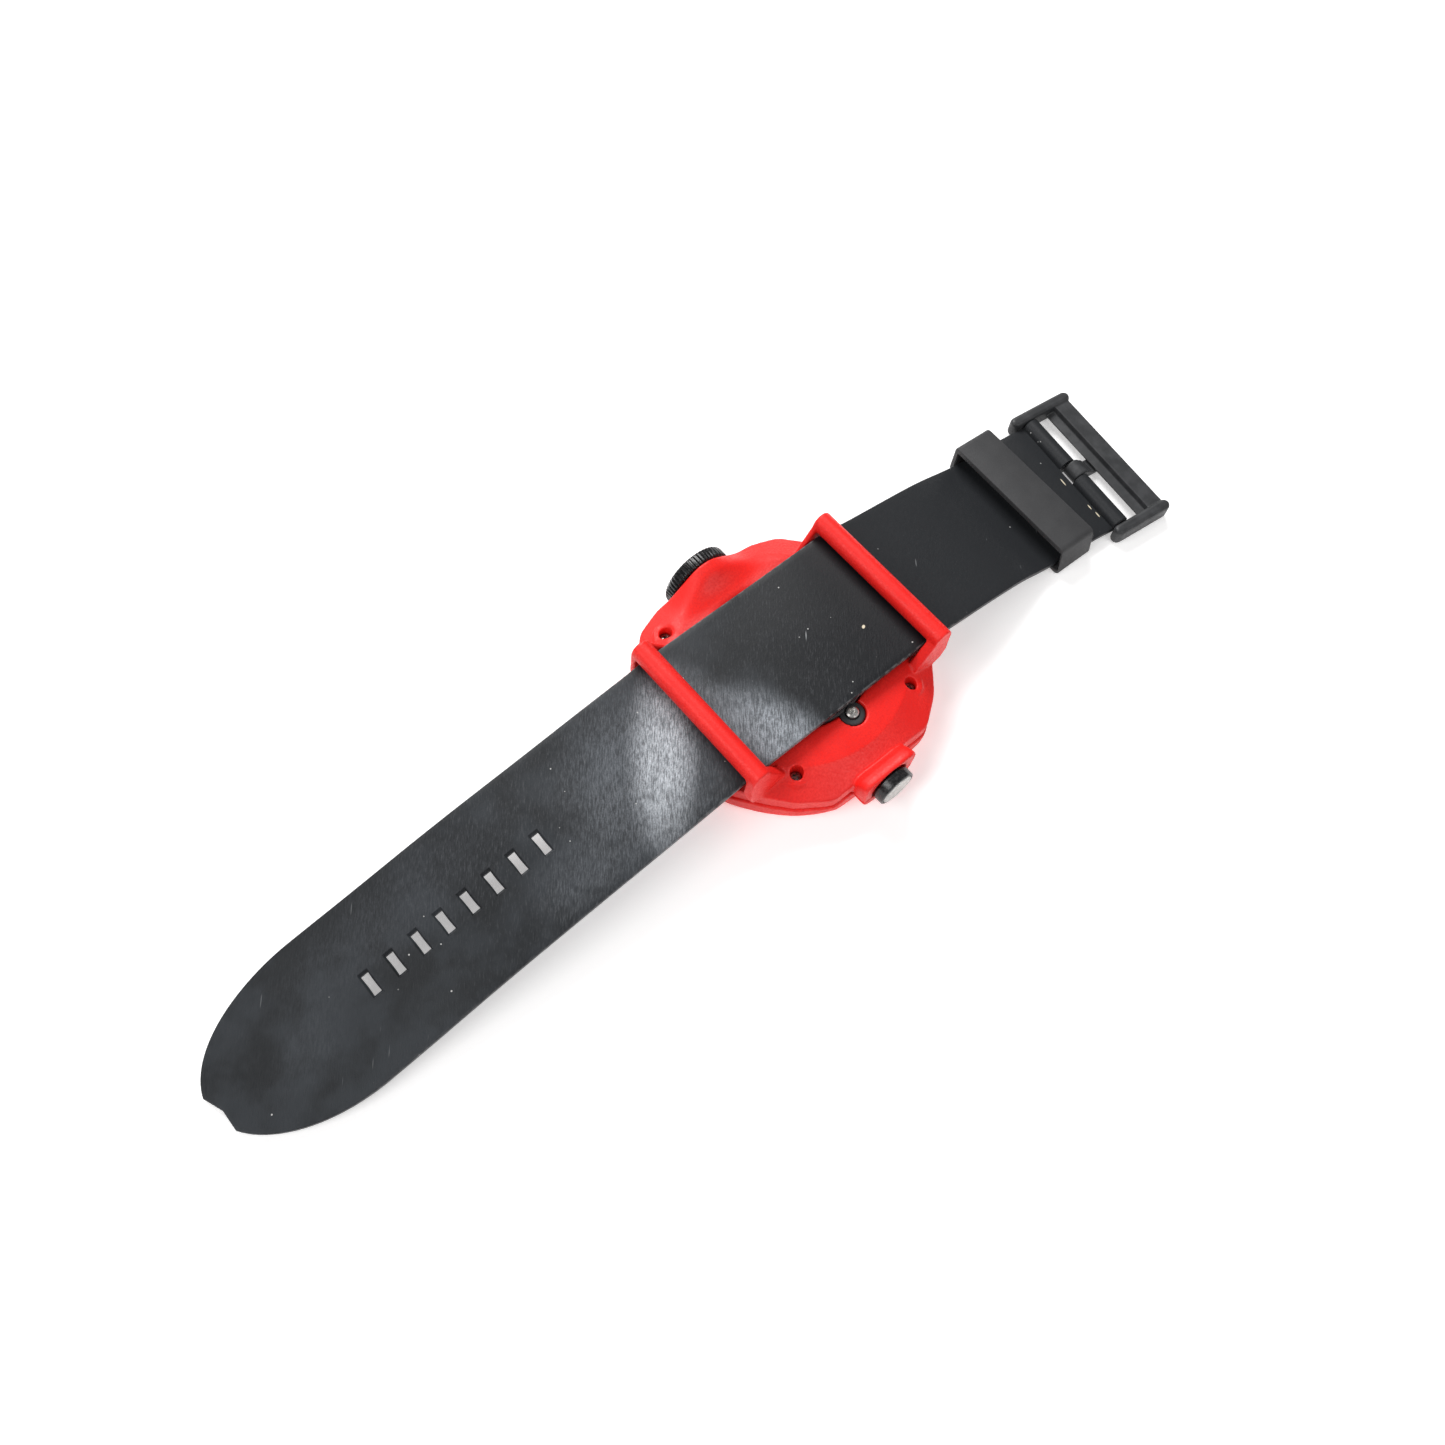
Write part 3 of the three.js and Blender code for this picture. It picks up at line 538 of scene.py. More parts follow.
def keeper_rubber():
    look = Look("keeper_rubber", (0.03, 0.03, 0.032), 0.62, specular=0.4)
    broad = look.noise(5, 3)
    grain = look.noise(0.28, 4)
    look.color(look.mix(look.level(broad, 0.3, 0.75), (0.038, 0.038, 0.040), (0.045, 0.045, 0.047)))
    look.rough(look.level(grain, 0.3, 0.7, 0.55, 0.72))
    return look.bump((grain, 0.03)).material


def black_gloss():
    look = Look("black_gloss", (0.012, 0.012, 0.013), 0.25, specular=0.5)
    grain = look.noise(0.6, 3)
    look.color(look.mix(look.level(grain, 0.4, 0.7), (0.01, 0.01, 0.011), (0.022, 0.022, 0.023)))
    look.rough(look.level(grain, 0.3, 0.7, 0.2, 0.36))
    return look.bump((grain, 0.015)).material


def metal(name, base, roughness, spread, size=0.5, streak=(1, 1, 1), depth=0.01):
    look = Look(name, base, roughness, metallic=1.0)
    pattern = look.noise(size, 3, 0.6, look.stretched(streak))
    worn = tuple(c * 0.7 for c in base)
    look.color(look.mix(look.level(pattern, 0.35, 0.7), base, worn))
    look.rough(look.level(pattern, 0.3, 0.7, roughness - spread, roughness + spread))
    return look.bump((pattern, depth)).material


def plain(name, base, roughness, size=1.0, tint=0.8, depth=0.01, metallic=0.0):
    """A moulded or printed surface: small colour change, uneven gloss, fine grain."""
    look = Look(name, base, roughness, metallic=metallic)
    pattern = look.noise(size, 4, 0.6)
    look.color(look.mix(look.level(pattern, 0.35, 0.68), base, tuple(c * tint for c in base)))
    look.rough(look.level(pattern, 0.3, 0.7, roughness * 0.85, min(roughness * 1.15, 1)))
    return look.bump((pattern, depth)).material


def ring_marks(name, base, mark, count, inner, outer, width, long_every, long_inner):
    """Dark ring with fine pale strokes round it, every few of them longer."""
    look = Look(name, base, 0.45)
    x, y, _ = look.axes()
    turn = look.math("MULTIPLY", look.math("ARCTAN2", y, x), count / (2 * math.pi))
    radius = look.math("SQRT", look.math("ADD", look.math("MULTIPLY", x, x), look.math("MULTIPLY", y, y)))

    def strokes(step, start, thick):
        near = look.math("PINGPONG", look.math("DIVIDE", turn, step), 0.5)
        across = look.math("MULTIPLY", near, radius)
        reach = thick * MM * count / (2 * math.pi) / step
        line = look.level(across, reach, reach * 0.8)
        return look.math(
            "MULTIPLY", line,
            look.math(
                "MULTIPLY", look.level(radius, (start - 0.1) * MM, start * MM),
                look.level(radius, outer * MM, (outer - 0.1) * MM),
            ),
        )

    marks = look.math("MAXIMUM", strokes(1, inner, width), strokes(long_every, long_inner, width * 1.8))
    grain = look.noise(0.5, 3)
    ground = look.mix(look.level(grain, 0.35, 0.7), base, tuple(c * 0.6 for c in base))
    look.color(look.mix(marks, ground, mark))
    look.rough(look.level(grain, 0.3, 0.7, 0.36, 0.52))
    return look.bump((grain, 0.02)).material


def clear_glass():
    look = Look("lens_clear", (0.97, 0.98, 0.98), 0.03, specular=0.5)
    look.shader.inputs["Transmission Weight"].default_value = 1.0
    look.shader.inputs["IOR"].default_value = 1.45
    smear = look.noise(6, 3)
    look.color(look.mix(look.level(smear, 0.4, 0.7), (0.97, 0.98, 0.98), (0.93, 0.95, 0.95)))
    return look.rough(look.level(smear, 0.45, 0.75, 0.02, 0.08)).material


RED = red_plastic()
STRAP = strap_pvc()
TRIM = black_trim()
KEEPER = keeper_rubber()
GLOSS = black_gloss()
NICKEL = metal("nickel", (0.92, 0.90, 0.87), 0.34, 0.08, 0.3, depth=0.03)
# painted shade: a darker copy of the nickel for the shell screws, standing in for the shade inside their
# wells
NICKEL_IN_WELL_SHADE = metal("nickel_well_shade", (0.34, 0.31, 0.29), 0.3, 0.1, 0.35, depth=0.08)
SILVER = metal("silver_plate", (0.56, 0.56, 0.54), 0.45, 0.1, 0.6, depth=0.05)
STEEL = metal("cell_steel", (0.58, 0.58, 0.57), 0.3, 0.08, 1.0, (0.2, 1, 1))
BRASS = metal("contact_brass", (0.70, 0.46, 0.17), 0.3, 0.08, 0.6)
SEAL = plain("seal_rubber", (0.02, 0.02, 0.021), 0.7, 0.4)
BOARD = plain("board_green", (0.015, 0.11, 0.045), 0.4, 2.5, 0.6)
MILKY = plain("light_guide", (0.75, 0.75, 0.71), 0.35, 3.0, 0.94)
CHIP = plain("chip_resin", (0.014, 0.014, 0.015), 0.3, 1.2, 0.6, 0.05)
GLASS = clear_glass()
DISPLAY = plain("display_glass", (0.36, 0.40, 0.33), 0.22, 4.0, 0.93, 0.004)
DIAL = ring_marks("dial_marks", (0.02, 0.02, 0.022), (0.7, 0.7, 0.68), 60, 20.4, 21.8, 0.14, 5, 19.6)
BEZEL = ring_marks("bezel_marks", (0.03, 0.03, 0.032), (0.75, 0.75, 0.73), 60, 26.2, 27.7, 0.16, 5, 25.2)


# ---------------------------------------------------------------- case
def rim_outline(grow=0.0):
    corners = [(33.4, 0), (32.6, 8), (29.8, 15.4), (25.2, 21.8), (20.8, 26.8)]
    far = REAR_FAR_FLAT + grow
    near = REAR_NEAR_FLAT - grow

    def quarter(sx, flat):
        share = 1 + grow / RIM_R
        return [(sx * x * share, math.copysign(y * share, flat)) for x, y in corners] + [(sx * 14, flat)]

    points = quarter(1, far) + quarter(-1, far)[::-1] + quarter(-1, near)[1:] + quarter(1, near)[1:][::-1]
    return rounded(points, 1.6, 4)


def crown_arch(name):
    """The round shoulder behind the crown in the front shell."""
    return lathe(name, [(0, 24.6), (8.1, 24.6), (8.4, HUMP_Y), (0, HUMP_Y)], 96, (CROWN.x, CROWN.z), "Y")


def dome_height(x, y):
    """Height of the back's slope; far below it over the flat middle, where the lathe has the shape."""
    return RIM_Z + (RIM_R - np.hypot(x, y)) * RIM_SLOPE


def crown_hump():
    """Rises from the sloping back to the crown's own circle, wide and low at its start."""
    xs = np.linspace(CROWN.x - 19, CROWN.x + 19, 108)
    ys = np.linspace(12, HUMP_Y, 48)
    bm = bmesh.new()
    top, low = [], []
    for y in ys:
        t = (y - ys[0]) / (ys[-1] - ys[0])
        half = 19 - 6.8 * t
        above = CROWN.z + CROWN_R - 0.15 - dome_height(CROWN.x, y)
        rise = max(above, 0) * t * t * (3 - 2 * t)
        bell = np.cos(np.clip((xs - CROWN.x) / half, -1, 1) * math.pi / 2) ** 2
        sunk = 0.35 * (1 - fade(t, 0.5, 1))
        z = np.minimum(dome_height(xs, y), 13.6) - sunk + rise * bell
        top.append([bm.verts.new((x, y, h)) for x, h in zip(xs, z)])
        low.append([bm.verts.new((x, y, 7.5)) for x in xs])
    last = len(xs) - 1
    for a, b, c, d in zip(top, top[1:], low, low[1:]):
        for i in range(last):
            bm.faces.new((a[i], a[i + 1], b[i + 1], b[i]))
            bm.faces.new((c[i], d[i], d[i + 1], c[i + 1]))
        for i in (0, last):
            bm.faces.new((a[i], b[i], d[i], c[i]))
    for a, c in ((top[0], low[0]), (top[-1], low[-1])):
        for i in range(last):
            bm.faces.new((a[i], a[i + 1], c[i + 1], c[i]))
    return keep_common(make("hump", bm), prism("outline", rim_outline(), 0, 30))


def button_boss(name, low, high, inner):
    """A rounded block round the button, proud of the case's near flat and falling to it behind."""
    left, right = BUTTON.x - 7.5, BUTTON.x + 7.6
    outline = rounded(
        [(left + 1, 2.1), (right - 1, 2.1), (right, 8.6), (right, 13.4), (left, 13.4), (left, 8.6)], 3.8,
        8,
    )

    def section(y, shrink, drop):
        points = []
        for x, z in outline:
            points.append((
                BUTTON.x + (x - BUTTON.x) * shrink, y,
                BUTTON.z + (z - BUTTON.z) * shrink - drop * (z > BUTTON.z),
            ))
        return points

    sections = [section(BOSS_FACE, 0.97, 0), section(BOSS_FACE + 0.5, 1, 0), section(-33.7, 1, 0.25),
                section(-32.4, 1, 1.0), section(-31.2, 0.98, 2.1), section(inner, 0.9, 5)]
    return keep_common(loft(name, sections), block("half", -40, 40, -50, 0, low, high))


def lug(sx, sy):
    turn = np.linspace(math.pi, 0, 17)
    arc = [(BAR.x + BAR_R * math.cos(a), BAR.z + BAR_R * math.sin(a)) for a in turn]
    foot = [(29.5, 12.5), (28.4, 9.8), (25.2, 8.4), (19.8, 9.4), (19.6, 12.8)]
    outline = [(sx * x, z) for x, z in arc + foot]
    ends = sorted((sy * LUG_IN, LUG_FAR_OUT if sy > 0 else -LUG_OUT))
    return prism("lug", outline, *ends, "Y")


def shared_bores():
    """Rooms for the crown and the button, cut from both shells."""
    crown_room = block("room", CROWN.x - CROWN_R - 0.8, CROWN.x + CROWN_R + 0.8, HUMP_Y, 45, -5, 25)
    shaft = lathe("shaft", [(0, 10), (2.2, 10), (2.2, 45), (0, 45)], 32, (CROWN.x, CROWN.z), "Y")
    seat = lathe(
        "seat",
        [(0, -50), (SEAT_R, -50), (SEAT_R, SEAT_FLOOR_Y), (4.0, SEAT_FLOOR_Y), (4.0, -32.4), (0, -32.4)],
        64, (BUTTON.x, BUTTON.z), "Y",
    )
    stem = lathe("stem", [(0, -50), (2.3, -50), (2.3, -24), (0, -24)], 32, (BUTTON.x, BUTTON.z), "Y")
    return [crown_room, shaft, seat, stem]


def rear_case():
    bottom = REAR_LOW.z
    back = smooth_line([(0, BACK_TOP), (10, 13.92), (20, 13.6), (27, 12.9)], 8)
    dome = lathe(
        "rear_shell",
        [(0, bottom), (RIM_R, bottom), (RIM_R, RIM_Z), *map(tuple, back[::-1][:-1]), (0, BACK_TOP)], 192,
    )
    keep_common(dome, prism("outline", rim_outline(), 0, 30))
    join(dome, crown_hump(), button_boss("boss", bottom, 14, -29))
    hollow = lathe("hollow", [(0, 0), (31, 0), (31, 7.4), (27.4, 10), (19.6, 10.9), (0, 10.9)], 96)
    cut(hollow, block("wall", *CROWN_WALL_X, CROWN_WALL_Y, 40, -1, CROWN_WALL_TOP))
    cut(dome, hollow)
    solids = [lug(sx, sy) for sx in (-1, 1) for sy in (-1, 1)]
    near_end, far_end = 0.5 - LUG_OUT, LUG_FAR_OUT - 0.4
    for sx in (-1, 1):
        bar = [(0, near_end), (BAR_R, near_end), (BAR_R, far_end), (0, far_end)]
        solids.append(lathe("bar", bar, 48, (sx * BAR.x, BAR.z), "Y"))
    cutters = []
    for name in SHELL_SCREWS:
        at = middle(name)
        solids.append(lathe("pillar", [(0, bottom), (2.9, bottom), (2.9, 11.4), (0, 11.4)], 32, (at.x, at.y)))
        top = span(name)[1].z
        cutters.append(lathe(
            "well", [(0, top - 1.3), (WELL_R, top - 1.3), (WELL_R, 20), (0, 20)], 32, (at.x, at.y),
        ))
    cutters.append(lathe("door_seat", [(0, 12), (DOOR_R + GAP, 12), (DOOR_R + GAP, 20), (0, 20)], 128))
    cutters.append(lathe(
        "ear_seat", [(0, 12), (EAR_R + GAP, 12), (EAR_R + GAP, 20), (0, 20)], 48, (EAR.x, EAR.y),
    ))
    cutters.append(lathe("cell_hole", [(0, 5), (15.4, 5), (15.4, 20), (0, 20)], 96))
    side = STRAP_HALF + GAP
    cutters.append(block("strap_path", -40, 40, -side, side, STRAP_TOP - STRAP_T - GAP, BAR.z - BAR_R))
    join(dome, *solids)
    cut(dome, *cutters, *shared_bores())
    mould(dome, CASE_VOXEL, 2)

    def near_hump(x, y, z):
        across = 1 - fade(abs(x - CROWN.x), 13, 17)
        along = fade(y, 12, 15) * (1 - fade(y, 27.2, 28.2))
        return across * along * fade(z, 9.6, 10.6) * (1 - fade(z, 17.6, 18.2))

    soften_where(dome, near_hump, 90)
    thin = dome.modifiers.new("thin", "DECIMATE")
    thin.ratio = min(1, 180_000 / (2 * len(dome.data.polygons)))
    bake(dome)
    return finish_piece(dome, RED, "case", ["rear_case"], sharp=None)


def front_case():
    top = FRONT_HIGH.z
    r = FRONT_HIGH.x
    seat = BEZEL_R + GAP
    shell = lathe("front_shell", [
        (22.5, 2.9), (seat, 2.9), (seat, 0.5), (30.6, 0.5), (32.2, 0.8), (33.4, 1.5), (34.2, 2.6), (r, 3.9),
        (r, top), (31.3, top), (31.3, 4.3), (22.5, 4.3),
    ], 192)
    keep_common(shell, prism("outline", rim_outline(0.35), -5, 30))
    guard = lathe("guard", [(0, 2.9), (r - 0.3, 2.9), (r - 0.3, top), (0, top)], 96)
    keep_common(guard, block("wall", *CROWN_WALL_X, CROWN_WALL_Y, HUMP_Y, 0, CROWN_WALL_TOP))
    hump = keep_common(crown_arch("hump"), block("lower", -30, 30, 24.6, 50, 0, top))
    boss = button_boss("boss", 0, top, -30)
    pillars = []
    for name in SHELL_SCREWS:
        at = middle(name)
        pillars.append(lathe("pillar", [(0, 3.5), (2.9, 3.5), (2.9, top), (0, top)], 32, (at.x, at.y)))
    join(shell, guard, hump, boss, *pillars)
    bezel_seat = lathe("bezel_seat", [(0, -5), (seat, -5), (seat, 2.9), (0, 2.9)], 192)
    cut(shell, bezel_seat, *shared_bores())
    mould(shell, CASE_VOXEL, 2, 120_000)
    return finish_piece(shell, RED, "case", ["front_case"], sharp=None)


def screw(node, head_r, lift, material):
    """A cross-recessed pan-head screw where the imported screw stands."""
    low, high = span(node)
    at = middle(node)
    top = high.z + lift
    head = [
        (0, top), (head_r * 0.45, top - 0.03), (head_r * 0.8, top - 0.14), (head_r, top - 0.42),
        (head_r, top - 0.9),
    ]
    shank = [(0.6, top - 0.95), (0.6, low.z + 0.9), (0.2, low.z), (0, low.z)]
    body = lathe(node + "_detail", head + shank, 48, (at.x, at.y))
    wide, deep = head_r * 0.2, top - 0.5
    cross = []
    for turn in (0.35, 0.35 + math.pi / 2):
        arm = []
        for half_l, half_w, z in (
            (head_r * 0.62, wide, top + 0.3), (head_r * 0.62, wide, top - 0.1),
            (head_r * 0.36, wide * 0.6, deep),
        ):
            corners = [(-half_l, -half_w), (half_l, -half_w), (half_l, half_w), (-half_l, half_w)]
            arm.append([
                (
                    at.x + x * math.cos(turn) - y * math.sin(turn),
                    at.y + x * math.sin(turn) + y * math.cos(turn), z,
                )
                for x, y in corners
            ])
        cross.append(loft("arm", arm))
    cut(body, *cross)
    return finish_piece(body, material, "case", [node], sharp=28)


def battery_door():
    top = span("battery_door")[1].z
    plate = lathe(
        "battery_door_detail",
        [
            (0, 13), (DOOR_R - 0.2, 13), (DOOR_R, 13.2), (DOOR_R, 13.9), (DOOR_R - 0.25, 14.2),
            (DOOR_R - 1.2, 14.42), (0, top),
        ],
        160,
    )
    ear = lathe(
        "ear",
        [
            (0, 12.3), (EAR_R - 0.1, 12.3), (EAR_R, 12.4), (EAR_R, 13.0), (EAR_R - 0.2, 13.22),
            (EAR_R - 0.5, 13.3), (0, 13.3),
        ],
        64, (EAR.x, EAR.y),
    )
    spigot = lathe("spigot", [(13.4, 11.3), (15.1, 11.3), (15.1, 13.2), (13.4, 13.2)], 96)
    join(plate, ear, spigot)
    hole = lathe(
        "hole", [(0, 12.8), (1.6, 12.8), (1.6, 13.1), (1.85, 13.3), (1.85, 16), (0, 16)], 48,
        (EAR.x, EAR.y),
    )
    cut(plate, hole)
    return finish_piece(plate, TRIM, "case", ["battery_door"], sharp=30)


# ---------------------------------------------------------------- crown and button
def crown_wheel():
    per_rib = 8
    shape = [0.5, 0.5, 0.17, 0.0, 0.0, 0.0, 0.17, 0.5]      # depth below the outer radius round one rib
    y0, y1 = CROWN_LOW.y, CROWN_HIGH.y

    def ring(y, inset, smooth=0.0, radius=None):
        points = []
        for i in range(CROWN_RIBS * per_rib):
            a = 2 * math.pi * i / (CROWN_RIBS * per_rib)
            r = radius or CROWN_R - inset - shape[i % per_rib] * (1 - smooth)
            points.append((CROWN.x + r * math.cos(a), y, CROWN.z + r * math.sin(a)))
        return points

    wheel = loft(
        "crown_detail",
        [
            ring(y0, 0.55, 0.8), ring(y0 + 0.12, 0.12), ring(y0 + 0.3, 0), ring(y1 - 0.45, 0),
            ring(y1 - 0.15, 0.15), ring(y1, 0.5, 0.8), ring(y1, 0, 0, 6.2), ring(y1 - 0.12, 0, 0, 5.9),
            ring(y1 - 0.5, 0, 0, 5.6), ring(y1 - 0.6, 0, 0, 5.0), ring(y1 - 0.45, 0, 0, 2.0),
        ],
    )
    return finish_piece(wheel, GLOSS, "crown", ["crown_wheel"], sharp=32)


def button():
    face = BUTTON_LOW.y
    r = BUTTON_R
    stem = [(1.2, -34.2), (1.2, BUTTON_HIGH.y), (0, BUTTON_HIGH.y)]
    body = lathe(
        "button_detail",
        [
            (0, face + 0.7), (r - 0.55, face + 0.7), (r - 0.55, face + 0.12), (r - 0.42, face),
            (r - 0.28, face + 0.02), (r - 0.08, face + 0.18), (r, face + 0.5), (r, -35.6),
            (r - 0.35, -35.25), (3.6, -35.2), (3.6, -34.2), *stem,
        ],
        96, (BUTTON.x, BUTTON.z), "Y",
    )
    finish_piece(body, GLOSS, "button", ["button_body"], sharp=32)
    cap_face = span("button_cap")[0].y
    cap = lathe(
        "button_cap_detail",
        [
            (0, cap_face), (2.6, cap_face + 0.01), (3.7, cap_face + 0.05), (3.95, cap_face + 0.13),
            (4.05, cap_face + 0.3), (4.05, cap_face + 0.65), (0, cap_face + 0.65),
        ],
        96, (BUTTON.x, BUTTON.z), "Y",
    )
    finish_piece(cap, SILVER, "button", ["button_cap"], sharp=32)


# ---------------------------------------------------------------- strap
TAIL_FALL = [
    (-20, STRAP_TOP), (-BAR.x, STRAP_TOP), (-33, 15.6), (-50, 13.6), (-72, 11.3), (-92, 8.6), (-112, 5.2),
    (-132, 2.5), (-152, 1.45),
]
BUCKLE_FALL = [(20, STRAP_TOP), (BAR.x, STRAP_TOP), (34, 14.2), (46, 11.4), (58, 8.3), (68, 4.8), (75, 3.25),
               (84, 3.2), (90, 3.15), (94.5, 2.6), (99, 2.5)]


def flat_band(name, outline):
    """The strap's outline as a flat strip, upper face at 0, edges rounded except at the middle."""
    band = prism(name, outline, -STRAP_T, 0)
    bm = bmesh.new()
    bm.from_mesh(band.data)
    edges = []
    for e in bm.edges:
        a, b = (v.co for v in e.verts)
        if abs(a.z - b.z) < 1e-6 and max(abs(a.x), abs(b.x)) > 0.01:
            edges.append(e)
    bmesh.ops.bevel(bm, geom=edges, offset=0.28, segments=3, profile=0.55, affect="EDGES", clamp_overlap=True)
    bm.to_mesh(band.data)
    bm.free()
    return band


def sliced(band, x_step, y_step):
    bm = bmesh.new()
    bm.from_mesh(band.data)
    xs = [v.co.x for v in bm.verts]
    stations = [(Vector((x, 0, 0)), Vector((1, 0, 0))) for x in np.arange(min(xs) + x_step, max(xs), x_step)]
    stations += [
        (Vector((0, y, 0)), Vector((0, 1, 0)))
        for y in np.arange(-STRAP_HALF + y_step, STRAP_HALF, y_step)
    ]
    for point, normal in stations:
        everything = bm.verts[:] + bm.edges[:] + bm.faces[:]
        bmesh.ops.bisect_plane(bm, geom=everything, plane_co=point, plane_no=normal, dist=1e-5)
    bm.to_mesh(band.data)
    bm.free()


def waves(x, y):
    """Slight unevenness of the strip, calm where it passes under the bars."""
    calm = np.clip((np.abs(np.abs(x) - BAR.x) - 4) / 8, 0, 1)
    swell = 0.10 * np.sin(x / 5.6 + 0.8 * np.sin(y / 7)) * np.cos(y / 9.5 + 0.6)
    swell += 0.07 * np.sin(x / 11.0 - y / 8.0 + 1.3)
    return swell * calm


def bend_to(obj, fall, wavy):
    """Lays a flat strip along the curve that its upper face follows."""
    line = smooth_line(fall)
    line = line[np.argsort(line[:, 0])]
    slopes = np.gradient(line[:, 1], line[:, 0])
    mesh = obj.data
    co = np.zeros(len(mesh.vertices) * 3)
    mesh.vertices.foreach_get("co", co)
    co = co.reshape(-1, 3)
    x, y, depth = co[:, 0].copy(), co[:, 1], -co[:, 2]
    slope = np.interp(x, line[:, 0], slopes) * (np.abs(x) > 20)
    length = np.sqrt(1 + slope ** 2)
    lift = waves(x, y) if wavy else 0
    co[:, 0] = x + depth * slope / length
    co[:, 2] = np.interp(x, line[:, 0], line[:, 1]) - depth / length + lift
    mesh.vertices.foreach_set("co", co.ravel())
    mesh.update()


def sway_slope(x):
    return SWAY_SLOPE * min(max((x - SWAY_FROM) / (SWAY_TO - SWAY_FROM), 0), 1)


def sway(x):
    bent = min(max(x, SWAY_FROM), SWAY_TO) - SWAY_FROM
    return SWAY_SLOPE * (bent * bent / (2 * (SWAY_TO - SWAY_FROM)) + max(x - SWAY_TO, 0))


def laid(obj):
    """Carries a piece drawn along the X axis over to the strap's bent middle line."""
    for v in obj.data.vertices:
        turn = math.atan(sway_slope(v.co.x))
        x, y = v.co.x, v.co.y
        v.co.x = x - y * math.sin(turn)
        v.co.y = sway(x) + y * math.cos(turn)
    return obj


def slot_cutter(x):
    """Punched tongue slot: a chamfered mouth over a slightly waisted hole."""
    def ring(half_l, half_w, waist, z):
        side = [(half_l * (1 - waist * (1 - (t / half_w) ** 2)), t) for t in np.linspace(-half_w, half_w, 9)]
        return [(x + a, b, z) for a, b in side] + [(x - a, b, z) for a, b in side[::-1]]
    return loft(
        "slot",
        [
            ring(1.45, 3.25, 0, 0.4), ring(1.2, 3.0, 0, -0.02), ring(1.05, 2.85, 0.03, -0.18),
            ring(0.9, 2.5, 0.1, -0.5), ring(0.95, 2.6, 0.1, -STRAP_T - 0.5),
        ],
    )


def strap_tail():
    tip_length = 30
    centre = TIP_X - 1 + tip_length
    turns = np.linspace(math.pi / 2, 1.5 * math.pi, 61)
    arc = [(centre + tip_length * math.cos(a), STRAP_HALF * math.sin(a)) for a in turns]
    tip = [(x, y) for x, y in arc if not -6.4 < y < 2.7]
    tip.insert([y < 0 for _, y in tip].index(True), (-148.35, -1.6))
    outline = [(0, -STRAP_HALF), (0, STRAP_HALF), *tip]
    band = flat_band("strap_tail_skin", outline)
    cut(band, *[slot_cutter(SLOT_FIRST_X - SLOT_PITCH * i) for i in range(SLOT_COUNT)])
    sliced(band, 1.1, 1.8)
    bend_to(band, TAIL_FALL, True)
    finish_piece(band, STRAP, None, ["strap_tail", "strap_centre"], sharp=30)
    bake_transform(band)
    return band


def strap_buckle_side():
    end = PIN_X - 0.9
    outline = [(0, STRAP_HALF), (0, -STRAP_HALF), (end, -STRAP_HALF), (end, STRAP_HALF)]
    band = flat_band("strap_buckle_skin", outline)
    sliced(band, 1.1, 1.8)
    bend_to(band, BUCKLE_FALL, True)
    roll = lathe(
        "roll",
        [
            (0, -STRAP_HALF), (KNUCKLE_R - 0.3, -STRAP_HALF), (KNUCKLE_R, -STRAP_HALF + 0.3),
            (KNUCKLE_R, STRAP_HALF - 0.3), (KNUCKLE_R - 0.3, STRAP_HALF), (0, STRAP_HALF),
        ],
        48, (PIN_X - ROLL_BACK, PIN.z), "Y",
    )
    join(band, roll)
    clear = TONGUE_HALF + 0.5
    cut(band, pin_bore(30), block("notch", PIN_X - 3.3, PIN_X + 5, TONGUE_Y - clear, TONGUE_Y + clear, -2, 8))
    laid(band)
    finish_piece(band, STRAP, None, ["strap_buckle_side"], sharp=30)
    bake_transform(band)
    return band


def pin_bore(half):
    return lathe("bore", [(0, -half), (1, -half), (1, half), (0, half)], 24, (PIN_X, PIN.z), "Y")


def keeper():
    at = middle("strap_keeper") + Vector((0.5, 0, 0))
    half_l = 5.6
    inner_y = STRAP_HALF + 0.6
    outer_y = inner_y + 1.25
    low, high = span("strap_keeper")
    turn = math.atan(sway_slope(at.x)) + math.radians(3)

    def ring(half_y, z0, z1, corner, lean, shift, x, inset=0.0):
        top = z1 - inset - fall * (x + half_l) / (2 * half_l)
        points = [(-half_y + inset, z0 + inset), (half_y - inset, z0 + inset), (half_y - inset, top),
                  (lean - half_y + inset, top)]
        return [(x, y + shift, z) for y, z in rounded(points, corner, 6)]

    fall = 0.7
    outer = (outer_y, low.z, high.z, 1.3, 1.6, 0)
    # roomier on the near side, where the strap bends away
    hole = (inner_y + 0.15, 1.3, 7.3, 0.35, 0.5, -0.2)
    ease = 0.3
    loops = [
        ring(*outer, -half_l + ease), ring(*outer, -half_l + 0.08, 0.09), ring(*outer, -half_l, ease),
        ring(*hole, -half_l, -ease * 0.7), ring(*hole, -half_l + ease), ring(*hole, half_l - ease),
        ring(*hole, half_l, -ease * 0.7), ring(*outer, half_l, ease), ring(*outer, half_l - 0.08, 0.09),
        ring(*outer, half_l - ease),
    ]
    loop = loop_of_rings("strap_keeper_detail", loops)
    loop.data.transform(Matrix.Translation((at.x, at.y, 0)) @ Matrix.Rotation(turn, 4, "Z"))
    return finish_piece(loop, KEEPER, "keeper", ["strap_keeper"], sharp=35)


